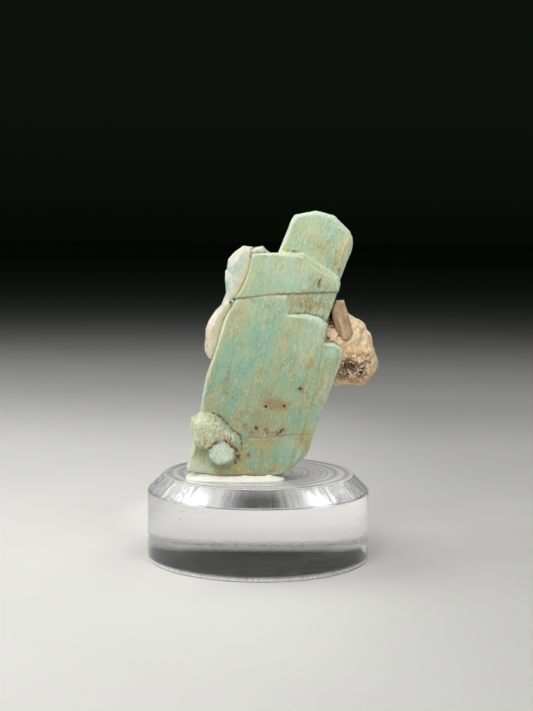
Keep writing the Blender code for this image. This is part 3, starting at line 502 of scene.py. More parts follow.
def shape_amazonite():
    """The amazonite: growth lines, worn edges, pits and zones of colour, with painted highlights and painted shade."""
    piece = voxel_copy("amazonite", "amazonite_crystals", 0.155)
    skin = Skin(piece)
    grown = along_growth(skin.points, 1.0, 1.0, 1.0)
    bulge = skin.bulge(6)
    # Convex edges: chipped in the shape, and painted pale further on as a painted rim highlight.
    edge = skin.spread(smooth(bulge, 0.008, 0.045), 1)
    hollow = skin.spread(smooth(-bulge, 0.015, 0.08), 2)
    # Sides turned away from the front, less so upward bevels; they are painted pale further on as painted light on
    # faces the lamps leave dim.
    turned = 1.0 - smooth(-skin.spread(skin.normals[:, 1], 2), 0.6, 0.93)
    turned *= 1.0 - 0.7 * smooth(skin.normals[:, 2], 0.25, 0.6)
    front = smooth(-skin.normals[:, 1], 0.3, 0.8)
    x, y, z = skin.points.T
    dome = smooth(-y, 9.5, 10.1) * smooth(-z, -28.0, -27.0)
    hexagon = smooth(-y, 10.7, 11.2) * smooth(np.hypot(x + 6.3, z - 20.5), 3.0, 2.6)
    ribbed = dome * (1.0 - hexagon)
    skin.points[:, 1] -= 0.5 * ribbed * (y + DOME_FRONT)
    skin.write()
    join = smooth(x - 0.27 * z, -14.6, -15.6) * smooth(z, 46.0, 47.0)
    worn = spots(skin.points, WORN_ZONES, 0.6) * front

    lines = layered(along_growth(skin.points, 0.55, 1.2, 7.0), 1.0, 3, 11)
    waves = layered(grown, 4.5, 2, 14)
    grain = layered(skin.points, 0.7, 2, 17)
    low_dome = smooth(-z, -24.6, -23.4)
    ribs = low_dome * noise(np.stack([x * 3.4, 0.5 * y, 0.3 * z], 1), 1.0, 26)
    ribs += (1.0 - 0.5 * low_dome) * (0.5 - cells(skin.points, 0.55, 28)[0])
    chips = smooth(layered(skin.points, 1.1, 2, 21), 0.12, 0.5) * edge
    relief = 0.03 * lines + 0.07 * waves + (0.015 + 0.03 * worn) * grain - 0.14 * chips + 0.24 * ribs * ribbed
    relief -= 0.10 * near_line(skin.points, FAINT_CRACK, 0.22, 0.12) * front
    pit = np.zeros(len(skin.points))
    around = np.zeros(len(skin.points))
    for pit_x, pit_z, radius in PITS:
        away = np.hypot(x - pit_x + 0.12 * noise(skin.points, 0.4, 47), z - pit_z + 0.12 * noise(skin.points, 0.4, 48))
        pit = np.maximum(pit, 1.0 - smooth(away, 0.35 * radius, 1.1 * radius))
        around = np.maximum(around, 1.0 - smooth(away, radius, 3.6 * radius + 0.2))
    pit *= front
    skin.move(relief - 0.3 * pit)

    across_crack = near_line(skin.points, CRACK_ROUTE, 0.18, 0.1) * front
    # Crevices round the hexagonal crystal and the dome: brown stain, and painted shadow where they are darkest.
    crevices = np.maximum(near_line(skin.points, HEX_RIM, 0.4, 0.2), 0.9 * near_line(skin.points, DOME_RIM, 0.32, 0.2))
    crevices *= 0.45 + 0.55 * smooth(layered(skin.points, 0.6, 2, 39), -0.35, 0.25)
    before = smooth(-y, 6.0, 7.5)
    crevices *= before
    stain = spots(skin.points, STAIN_ZONES, 0.45) * front
    stain = np.maximum(stain, 0.95 * near_line(skin.points, CRACK_ROUTE, 0.34, 0.2) * front)
    stain = np.maximum(stain, 0.5 * near_line(skin.points, FAINT_CRACK, 0.4, 0.2) * front)
    stain = np.maximum(stain, 0.7 * near_line(skin.points, FOOT_MARK, 0.4, 0.15) * front)
    stain = np.maximum(stain, 0.9 * around * front)
    stain = np.maximum(stain, crevices * (0.4 + 0.6 * front))
    stain = np.maximum(stain, spots(skin.points, BROWN_SPECKS, 0.25) * before)
    stain = np.maximum(stain, 0.25 * hollow * (1.0 - join))
    broken = 0.45 + 0.55 * smooth(layered(skin.points, 0.5, 2, 37), -0.2, 0.4)
    yellow = np.zeros(len(skin.points))
    for route, width in YELLOW_STREAKS:
        yellow = np.maximum(yellow, near_line(skin.points, route, width, 0.05) * broken * front)
    # Dark: the crack and the pits in their own colour, with painted shade in crevices, hollows and along the ledge.
    dark = np.maximum(across_crack * 0.25, 0.95 * crevices * smooth(crevices, 0.3, 0.75))
    # Painted shade in the surface's hollows.
    dark = np.maximum(dark, smooth(-skin.bulge(3), 0.02, 0.08) * 0.2 * front * (1.0 - join))
    dark = np.maximum(dark, 0.85 * pit)
    # Painted shadow: a dark line along the ledge's step.
    ledge = near_line(skin.points, LEDGE, 0.26, 0.12) * smooth(y, -8.2, -7.9) * smooth(x, 5.0, 6.0)
    dark = np.maximum(dark, np.maximum(0.6 * ledge, spots(skin.points, CREVICES, 0.15) * smooth(-y, 3.0, 4.0)))
    # Pale: the stone's own pale zones, with painted highlight on edges, outline rims and turned sides.
    pale = np.maximum(spots(skin.points, PALE_ZONES, 0.6), np.maximum(0.85 * edge, 0.6 * turned))
    for route, width in PALE_LINES:
        pale = np.maximum(pale, 0.95 * near_line(skin.points, route, 0.7 * width, 0.1))
    pale *= 1.0 - 0.85 * join * smooth(-y, 6.4, 6.7)
    tint = spots(skin.points, OLIVE_ZONES, 0.7) - spots(skin.points, TURQUOISE_ZONES, 0.7)
    tint += 0.35 * layered(along_growth(skin.points, 1.0, 1.5, 3.0), 2.6, 3, 24)
    skin.mark("tint", tint)
    skin.mark("stain", stain)
    skin.mark("dark", dark)
    skin.mark("worn", worn)
    skin.mark("ribs", ribs * ribbed)
    skin.mark("low_dome", low_dome)
    skin.mark("mint", spots(skin.points, MINT_ZONES, 0.4) * ribbed)
    skin.mark("striae", spots(skin.points, STRIAE_ZONES, 0.5) * front)
    skin.mark("beige", spots(skin.points, BEIGE_ZONES, 0.3))
    skin.mark("yellow", yellow)
    skin.mark("pale", pale)
    skin.mark("dome", ribbed)
    skin.mark("yellow_specks", spots(skin.points, [(4.5, 55.3, 0.45, 0.22, 1.0), (4.9, 55.9, 0.2, 0.3, 0.7)], 0.2))
    skin.mark("hexagon", hexagon)
    smooth_faces(piece)
    thin = piece.modifiers.new("fewer", "DECIMATE")
    thin.ratio = min(1.0, 198000.0 / (2.0 * len(piece.data.polygons)))
    return with_modifiers(piece)


def look_amazonite():
    """Blue-green feldspar, streaked along its growth, flecked with white, with rusty stains; painted highlights on its
    edges and sides, painted shade in its crevices and towards the bottom.
    """
    look = Look("amazonite")
    streaks = look.noise(0.9, 5.0, 0.62, stretch=(0.7, 1.0, 7.0), twist=0.3)
    threads = look.noise(0.22, 3.0, 0.6, stretch=(1.0, 1.0, 8.0), seed=11.0)
    patches = look.noise(2.4, 6.0, 0.6, stretch=(0.8, 1.0, 1.6), seed=3.0)
    specks = look.noise(0.5, 5.0, 0.7, stretch=(0.9, 1.0, 1.4), seed=5.0)
    fine = look.noise(0.2, 3.0, 0.65, stretch=(1.0, 1.0, 1.8), seed=8.0)
    worn = look.mark("worn")
    tone = look.math("MULTIPLY_ADD", look.mark("tint"), 0.30, 0.5)
    tone = look.math("ADD", tone, look.math("MULTIPLY_ADD", streaks, 0.45, -0.225))
    tone = look.math("ADD", tone, look.math("MULTIPLY_ADD", patches, 0.6, -0.3))
    tone = look.math("ADD", tone, look.math("MULTIPLY_ADD", specks, 0.16, -0.08))
    colour = look.ramp(tone, (0.15, paint(148, 202, 184)), (0.38, paint(168, 208, 180)), (0.58, paint(192, 206, 162)),
                       (0.85, paint(206, 198, 142)))
    light = look.math("ADD", look.math("MULTIPLY", specks, 0.5), look.math("MULTIPLY", fine, 0.5))
    light = look.math("ADD", light, look.math("MULTIPLY_ADD", threads, 0.5, -0.25))
    # Painted light: the crystals are darker towards the bottom and paler towards the top, for light falling from above.
    split = look.node("ShaderNodeSeparateXYZ")
    look.feed(split.inputs[0], look.place)
    height = look.span(split.outputs[2], 0.017, 0.060)
    colour = look.mix(1.0, colour, look.ramp(height, (0.0, paint(240, 226, 220)), (0.3, paint(238, 230, 228)),
                                             (1.0, paint(255, 255, 255))), "MULTIPLY")
    colour = look.mix(look.math("MULTIPLY", height, 0.3), colour, paint(222, 230, 200))
    colour = look.mix(look.math("MULTIPLY", look.mark("dome"), 0.85), colour, paint(250, 244, 196))
    colour = look.mix(look.math("MULTIPLY", look.mark("hexagon"), 0.75), colour,
                      look.ramp(fine, (0.34, paint(146, 176, 166)), (0.58, paint(226, 236, 228))))
    colour = look.mix(look.mark("yellow_specks"), colour, paint(232, 222, 84))
    # Beige, painted paler as painted light on the right bevel.
    colour = look.mix(look.math("MULTIPLY", look.mark("beige"), 0.75), colour, paint(240, 226, 180))
    # Mint, painted paler as painted light on the dome's shaded right side.
    colour = look.mix(look.math("MULTIPLY", look.mark("mint"), 0.8), colour, paint(206, 234, 206))
    seams = look.span(look.grains(0.62, "DISTANCE_TO_EDGE", 0.02), 0.24, 0.06)
    ribs = look.noise(0.34, 1.0, 0.5, stretch=(1.0, 3.0, 6.0), lean=0.0, seed=31.0)
    gaps = look.mix(look.mark("low_dome"), seams, look.span(ribs, 0.52, 0.40))
    gaps = look.math("MULTIPLY", look.mark("dome"), look.math("MULTIPLY", gaps, look.span(specks, 0.35, 0.6, 0.2, 0.75)))
    colour = look.mix(gaps, colour, paint(128, 112, 66))
    colour = look.mix(look.span(look.mark("ribs"), 0.1, 0.5, 0.0, 0.4), colour, paint(240, 240, 206))
    dashes = look.noise(0.15, 3.0, 0.6, stretch=(1.0, 1.5, 12.0), seed=21.0)
    striae = look.math("MULTIPLY", look.mark("striae"), look.span(dashes, 0.52, 0.40, 0.0, 0.62))
    colour = look.mix(striae, colour, paint(116, 120, 84))
    shade = look.ramp(light, (0.36, paint(206, 212, 202)), (0.60, paint(255, 255, 255)))
    shade = look.mix(look.span(patches, 0.40, 0.60, 0.35, 1.0), paint(246, 248, 246), shade)
    strong = look.ramp(light, (0.34, paint(176, 176, 162)), (0.62, paint(255, 255, 255)))
    colour = look.mix(1.0, colour, look.mix(worn, shade, strong), "MULTIPLY")
    fleck = look.span(look.math("ADD", light, look.math("MULTIPLY_ADD", patches, 0.3, -0.15)), 0.56, 0.66)
    colour = look.mix(look.math("MULTIPLY", fleck, look.math("MULTIPLY_ADD", worn, 0.4, 0.25)), colour,
                      paint(224, 230, 208))
    # Pale zones, rims and turned sides: in part the stone's own pale colour, in part painted highlight.
    pale = look.math("MULTIPLY", look.mark("pale"), look.span(light, 0.3, 0.6, 0.5, 0.95))
    colour = look.mix(pale, colour, paint(220, 228, 204))
    colour = look.mix(look.math("MULTIPLY", look.mark("yellow"), 0.7), colour, paint(176, 150, 92))
    rust = look.math("MULTIPLY", look.mark("stain"), look.span(specks, 0.36, 0.6, 0.35, 1.0))
    colour = look.mix(look.math("MULTIPLY", rust, 0.82), colour,
                      look.ramp(fine, (0.35, paint(132, 80, 46)), (0.7, paint(196, 146, 90))))
    # Dark marks: crack and pits, and painted shade in crevices, hollows and along the ledge.
    colour = look.mix(look.math("MULTIPLY", look.mark("dark"), 0.9), colour, paint(66, 38, 24))
    look.set(Base_Color=colour, Roughness=look.span(fine, 0.3, 0.7, 0.34, 0.54), Specular_IOR_Level=0.5, IOR=1.53,
             Subsurface_Weight=0.35, Subsurface_Radius=(1.0, 1.3, 1.0), Subsurface_Scale=0.0006)
    look.bump((streaks, 0.04), (threads, 0.02), (look.math("MULTIPLY", specks, look.math("ADD", worn, 0.4)), 0.08),
              (fine, 0.02))
    return look


# Matrix rock

DARK_ZONES = [(16.0, 35.3, 2.2, 2.0, 1.0), (18.0, 34.4, 2.2, 1.6, 0.9), (15.0, 33.6, 1.4, 1.4, 0.8),
              (15.4, 37.4, 0.5, 0.9, 0.5), (12.6, 42.6, 0.7, 2.2, 0.8)]
DARK_HOLES = [(12.75, 43.5, 0.5, 1.5, 1.0), (12.1, 39.9, 0.5, 0.45, 1.0), (18.6, 34.6, 0.35, 0.35, 1.0),
              (15.4, 35.4, 0.5, 0.4, 0.9), (16.8, 34.9, 0.5, 0.4, 0.9), (19.6, 37.0, 0.22, 0.4, 0.7)]


def shape_matrix():
    """The matrix rock: granular, pitted low on its front."""
    piece = voxel_copy("matrix_rock", "matrix_rock_grains", 0.17)
    skin = Skin(piece)
    near = meet(skin, ["amazonite", "pale_feldspar", "smoky_quartz_left", "smoky_quartz_right"])
    free = smooth(near, 0.3, 0.8)
    warp = 0.25 * np.stack([noise(skin.points, 0.8, seed) for seed in (1, 2, 3)], 1)
    first, second, owner = cells(skin.points + warp, 1.15, 51)
    grains = 0.5 - first + 0.35 * owner
    small, beyond, number = cells(skin.points + warp, 0.62, 55)
    seams = 1.0 - smooth(beyond - small, 0.05, 0.36)
    x, y, z = skin.points.T
    low = smooth(-z, -38.2, -36.2) * smooth(-x, -20.8, -19.2) * smooth(z, 31.6, 33.0)
    beside = smooth(-(x - 0.27 * z), -3.9, -2.6) * smooth(z, 33.0, 34.5)
    behind = smooth(y, 0.0, 2.0) * smooth(layered(skin.points, 6.0, 2, 64), -0.1, 0.4)
    crumbly = np.maximum(low, np.maximum(beside * smooth(-y, -0.5, 1.5), 0.8 * behind))
    patchy = layered(skin.points, 1.7, 3, 61)
    deep = spots(skin.points, DARK_ZONES, 0.7)
    holes = crumbly * smooth(seams + 0.9 * patchy + 0.5 * deep, 0.45, 1.1)
    holes = np.maximum(holes, (1.0 - crumbly) * 0.2 * smooth(patchy, 0.3, 0.6))
    relief = (0.07 + 0.05 * crumbly) * grains + (0.04 + 0.14 * crumbly) * (0.5 - small)
    relief += (0.13 + 0.09 * crumbly) * layered(skin.points, 2.4, 3, 58)
    pits = spots(skin.points, DARK_HOLES, 0.3) * smooth(-y, 0.0, 1.0)
    skin.move(free * relief - 0.42 * holes * np.maximum(free, 0.5) - 0.5 * pits - 0.06)
    # Dark brown in the holes, pits and hollows of the crumbly part: partly grime, partly painted shade.
    dirt_and_painted_shade = np.maximum(holes, 0.8 * crumbly * smooth(-skin.bulge(4), 0.0, 0.08)) * (0.3 + 0.7 * deep)
    skin.mark("dirt_and_painted_shade", np.maximum(dirt_and_painted_shade, pits))
    skin.mark("low", crumbly)
    skin.mark("grain", number)
    smooth_faces(piece)
    return piece


def look_matrix():
    """Beige rock with brown grime and painted shade in its pits and hollows."""
    look = Look("matrix")
    large = look.noise(3.0, 5.0, 0.6, lean=0.0)
    small = look.noise(0.6, 4.0, 0.65, lean=0.0, seed=2.0)
    fine = look.noise(0.22, 2.0, 0.6, lean=0.0, seed=6.0)
    tone = look.math("ADD", look.math("MULTIPLY", large, 0.5), look.math("MULTIPLY", small, 0.5))
    tone = look.math("ADD", tone, look.math("MULTIPLY_ADD", look.mark("grain"), 0.3, -0.15))
    streaks = look.noise(0.35, 3.0, 0.6, stretch=(1.0, 1.0, 5.0), lean=-0.2, seed=12.0)
    tone = look.math("ADD", tone, look.math("MULTIPLY_ADD", streaks, 0.3, -0.15))
    colour = look.ramp(tone, (0.3, paint(216, 176, 130)), (0.5, paint(238, 210, 166)), (0.68, paint(250, 234, 204)))
    warm = look.ramp(tone, (0.3, paint(226, 176, 142)), (0.65, paint(255, 232, 200)))
    colour = look.mix(look.math("MULTIPLY", look.mark("low"), 0.6), colour, warm)
    dirt_and_painted_shade = look.math("MULTIPLY", look.mark("dirt_and_painted_shade"), look.span(small, 0.3, 0.55, 0.7, 1.0))
    colour = look.mix(dirt_and_painted_shade, colour, look.ramp(small, (0.4, paint(52, 28, 18)), (0.65, paint(112, 70, 46))))
    look.set(Base_Color=colour, Roughness=look.span(fine, 0.3, 0.7, 0.6, 0.85), Subsurface_Weight=0.15,
             Subsurface_Radius=(1.0, 0.7, 0.5), Subsurface_Scale=0.0006)
    look.bump((small, 0.12), (fine, 0.05))
    return look


# Pale feldspar and quartz

def shape_feldspar():
    """The pale feldspar at the upper left."""
    piece = voxel_copy("pale_feldspar", "pale_feldspar_crystals", 0.12)
    skin = Skin(piece)
    join = fill_join(skin, ["amazonite"], 0.08)
    x, y, z = skin.points.T
    skin.mark("join", join * smooth(-z, -54.5, -53.0))
    edge = smooth(skin.bulge(6), 0.01, 0.06) * (1.0 - join)
    chips = smooth(layered(skin.points, 1.0, 2, 71), 0.1, 0.5) * edge
    skin.move(0.03 * layered(skin.points, 1.8, 3, 72) + 0.02 * layered(skin.points, 0.5, 2, 75) - 0.05 * chips)
    skin.mark("warm", np.clip(smooth(z - 0.5 * x, 54.5, 58.0) + 0.3 * edge, 0.0, 1.0))
    crevice = near_line(skin.points, [(-1.55, 54.2), (-1.75, 54.8), (-1.4, 55.7)], 0.32, 0.2)
    skin.mark("stain", np.maximum(crevice, spots(skin.points, [(-2.9, 49.0, 0.7, 1.0, 0.5)], 0.4)))
    # Painted shade: a dark spot for a small hole, with no hollow in the shape.
    skin.mark("hole", spots(skin.points, [(-5.05, 46.35, 0.42, 0.4, 1.0)], 0.1))
    smooth_faces(piece)
    return piece


def look_feldspar():
    """Creamy rim, bluish grey-white inside."""
    look = Look("pale_feldspar")
    patches = look.noise(1.3, 6.0, 0.7)
    specks = look.noise(0.4, 3.0, 0.6, seed=4.0)
    colour = look.ramp(patches, (0.35, paint(170, 194, 186)), (0.52, paint(206, 214, 200)), (0.68, paint(230, 228, 210)))
    colour = look.mix(look.math("MULTIPLY", look.mark("warm"), 0.6), colour, paint(222, 204, 176))
    colour = look.mix(look.math("MULTIPLY", look.mark("join"), 0.7), colour, paint(214, 206, 154))
    colour = look.mix(look.math("MULTIPLY", look.mark("stain"), look.span(specks, 0.35, 0.6, 0.4, 0.9)), colour,
                      paint(176, 124, 78))
    # The hole: painted shade, a dark spot with no hollow in the shape.
    colour = look.mix(look.mark("hole"), colour, paint(40, 26, 18))
    look.set(Base_Color=colour, Roughness=look.span(specks, 0.3, 0.7, 0.32, 0.5), IOR=1.53, Subsurface_Weight=0.5,
             Subsurface_Radius=(1.2, 1.1, 0.9), Subsurface_Scale=0.0012)
    look.bump((specks, 0.04), (patches, 0.06))
    return look


def shape_left_quartz():
    """The pale smoky quartz on the left."""
    piece = voxel_copy("smoky_quartz_left", "smoky_quartz_pale", 0.12)
    skin = Skin(piece)
    join = fill_join(skin, ["amazonite", "pale_feldspar"], 0.08)
    edge = smooth(skin.bulge(6), 0.01, 0.06) * (1.0 - join)
    skin.move(0.05 * layered(skin.points, 2.2, 2, 82) - 0.04 * edge)
    skin.mark("edge", edge)
    # Painted shade: a dark spot for a small hole, with no hollow in the shape.
    skin.mark("hole", spots(skin.points, [(-5.05, 46.35, 0.42, 0.4, 1.0)], 0.1))
    smooth_faces(piece)
    return piece


def look_left_quartz():
    """Pinkish grey quartz, milky inside."""
    look = Look("pale_smoky_quartz")
    cloud = look.noise(2.6, 4.0, 0.6, twist=0.4)
    fine = look.noise(0.5, 3.0, 0.6, seed=3.0)
    colour = look.ramp(cloud, (0.35, paint(210, 196, 170)), (0.55, paint(226, 218, 194)), (0.7, paint(234, 228, 208)))
    # Paler edges: painted rim highlight.
    colour = look.mix(look.math("MULTIPLY", look.mark("edge"), 0.6), colour, paint(240, 234, 220))
    colour = look.mix(look.math("MULTIPLY", look.mark("join"), 0.5), colour, paint(206, 200, 158))
    # The hole: painted shade, a dark spot with no hollow in the shape.
    colour = look.mix(look.mark("hole"), colour, paint(40, 26, 18))
    look.set(Base_Color=colour, Roughness=look.span(fine, 0.3, 0.7, 0.24, 0.36), IOR=1.544, Subsurface_Weight=0.6,
             Subsurface_Radius=(1.4, 1.1, 0.9), Subsurface_Scale=0.0016, Transmission_Weight=0.08)
    look.bump((fine, 0.008), (cloud, 0.04))
    return look


def shape_right_quartz():
    """The brown smoky quartz prism, with fine growth lines across its faces."""
    piece = voxel_copy("smoky_quartz_right", "smoky_quartz_brown", 0.08)
    skin = Skin(piece)
    axis = np.array([14.0, -4.0, 46.95]) - np.array([15.55, -3.4, 38.9])
    axis /= np.linalg.norm(axis)
    along = skin.points @ axis
    rings = noise(np.stack([along * 2.2, 0.2 * skin.points[:, 0], 0.2 * skin.points[:, 1]], 1), 1.0, 91)
    skin.move(0.012 * rings + 0.02 * layered(skin.points, 1.2, 2, 93) - 0.03)
    skin.mark("edge", smooth(skin.bulge(5), 0.008, 0.04))
    lower_left = -0.53 * (skin.points[:, 0] - 14.2) - 0.215 * (skin.points[:, 2] - 42.4)
    skin.mark("left", smooth(lower_left, -0.06, 0.06) * smooth(-skin.points[:, 2], -44.6, -43.2))
    # A lighter line along the prism's ridge: painted highlight.
    skin.mark("ridge", near_line(skin.points, [(14.1, 43.2), (14.5, 42.1), (14.9, 40.1)], 0.2, 0.08))
    smooth_faces(piece)
    return piece


def look_right_quartz():
    """Brown quartz, glassy, a little cloudy inside."""
    look = Look("smoky_quartz")
    cloud = look.noise(1.8, 4.0, 0.6, twist=0.5)
    fine = look.noise(0.4, 3.0, 0.6, seed=3.0)
    streaks = look.noise(0.5, 3.0, 0.6, stretch=(1.0, 1.0, 5.0), lean=-0.2, seed=8.0)
    cloud = look.math("ADD", cloud, look.math("MULTIPLY_ADD", streaks, 0.5, -0.25))
    colour = look.ramp(cloud, (0.3, paint(188, 156, 124)), (0.55, paint(220, 190, 158)), (0.75, paint(236, 216, 190)))
    colour = look.mix(look.math("MULTIPLY", look.mark("left"), 0.55), colour, paint(198, 158, 106))
    # Painted highlights on the prism's ridge and edges.
    colour = look.mix(look.math("MULTIPLY", look.mark("ridge"), 0.7), colour, paint(246, 230, 204))
    colour = look.mix(look.math("MULTIPLY", look.mark("edge"), 0.6), colour, paint(236, 214, 184))
    look.set(Base_Color=colour, Roughness=look.span(fine, 0.3, 0.7, 0.12, 0.28), IOR=1.544, Transmission_Weight=0.2,
             Subsurface_Weight=0.5, Subsurface_Radius=(1.4, 1.0, 0.7), Subsurface_Scale=0.0012)
    look.bump((fine, 0.006), (cloud, 0.03))
    return look


# Putty and base

PUTTY_OUTLINE = [(-12.9, -6.0), (-12.3, -9.2), (-9.0, -10.6), (-3.0, -11.0), (2.6, -10.8), (4.5, -9.6), (4.7, -5.5),
                 (3.2, -2.4), (-1.5, -1.1), (-8.5, -1.6), (-12.0, -3.2)]


def shape_putty():
    """The putty pad, pressed onto the base and up against the crystals."""
    piece = voxel_copy("mounting_putty", "putty_pad", 0.12)
    skin = Skin(piece)
    near = nearest_on(skin.points, "amazonite")[0]
    up = smooth(skin.normals[:, 2], 0.2, 0.8)
    skin.move(0.34 * (1.0 - smooth(near, 0.4, 0.7)) * np.maximum(up, 0.4) + 0.05 * layered(skin.points, 1.4, 3, 95))
    base_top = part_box("display_base")[1].z / MM
    inside = np.full(len(skin.points), 9.0)
    for start, end in zip(PUTTY_OUTLINE, PUTTY_OUTLINE[1:] + PUTTY_OUTLINE[:1]):
        start, edge = np.array(start), np.array(end) - np.array(start)
        share = np.clip((skin.points[:, :2] - start) @ edge / (edge @ edge), 0.0, 1.0)
        inside = np.minimum(inside, np.linalg.norm(skin.points[:, :2] - start - share[:, None] * edge, axis=1))
    thin = 0.25 + 0.75 * smooth(inside + 0.5 * noise(skin.points, 1.5, 98), 0.0, 2.4)
    low = base_top + 0.3
    skin.points[:, 2] = np.where(skin.points[:, 2] > low, low + (skin.points[:, 2] - low) * thin, skin.points[:, 2])
    below = skin.points[:, 2] < base_top + 0.42
    skin.points[below, 2] = base_top - 0.01 + np.maximum(skin.points[below, 2] - base_top - 0.3, 0.0) * 2.5
    skin.points[:, 2] = np.maximum(skin.points[:, 2], base_top - 0.01)
    skin.write()
    smooth_faces(piece)
    return piece


def look_putty():
    """Off-white putty, faintly mottled, with a fine bumpy surface."""
    look = Look("putty")
    cloud = look.noise(2.2, 4.0, 0.6, lean=0.0)
    fine = look.noise(0.35, 3.0, 0.6, lean=0.0, seed=3.0)
    colour = look.ramp(cloud, (0.35, paint(244, 240, 228)), (0.65, paint(252, 250, 242)))
    look.set(Base_Color=colour, Roughness=look.span(fine, 0.3, 0.7, 0.5, 0.7), Subsurface_Weight=0.4,
             Subsurface_Radius=(1.0, 0.9, 0.8), Subsurface_Scale=0.0008)
    look.bump((fine, 0.05), (cloud, 0.1))
    return look


BASE_RADIUS = 20.0
BASE_HEIGHT = 15.2
BEVEL_DROP = 2.9
BEVEL_REACH = 2.95
FOOT_CHAMFER = 0.25
SEGMENTS = 256


def rounded(profile, radius, steps):
    """A profile of (reach, height) points with its inner corners rounded by short arcs."""
    result = [profile[0]]
    for before, here, after in zip(profile, profile[1:], profile[2:]):
        before, here, after = (np.array(point) for point in (before, here, after))
        start = here + (before - here) / np.linalg.norm(before - here) * radius
        end = here + (after - here) / np.linalg.norm(after - here) * radius
        for step in range(steps + 1):
            share = step / steps
            result.append(tuple((1 - share) ** 2 * start + 2 * share * (1 - share) * here + share ** 2 * end))
    return result + [profile[-1]]


def shape_base():
    """The acrylic disc, turned, with its edges very slightly rounded."""
    profile = [(0.0, 0.0), (BASE_RADIUS - FOOT_CHAMFER, 0.0), (BASE_RADIUS, FOOT_CHAMFER),
               (BASE_RADIUS, BASE_HEIGHT - BEVEL_DROP), (BASE_RADIUS - BEVEL_REACH, BASE_HEIGHT), (0.0, BASE_HEIGHT)]
    rings = rounded(profile, 0.1, 3)[1:-1]
    shape = bmesh.new()
    loops = []
    for reach, height in rings:
        angles = (2 * math.pi * step / SEGMENTS for step in range(SEGMENTS))
        loops.append([shape.verts.new(Vector((reach * math.cos(angle), reach * math.sin(angle), height)) * MM)
                      for angle in angles])
    for loop, following in zip(loops, loops[1:]):
        for index in range(SEGMENTS):
            after = (index + 1) % SEGMENTS
            shape.faces.new((loop[index], loop[after], following[after], following[index]))
    shape.faces.new(reversed(loops[0]))
    shape.faces.new(loops[-1])
    for face in shape.faces:
        face.smooth = len(face.verts) == 4
    mesh = bpy.data.meshes.new("acrylic_disc")
    shape.to_mesh(mesh)
    shape.free()
    piece = linked("acrylic_disc", mesh)
    mesh.set_sharp_from_angle(angle=math.radians(35.0))
    return piece


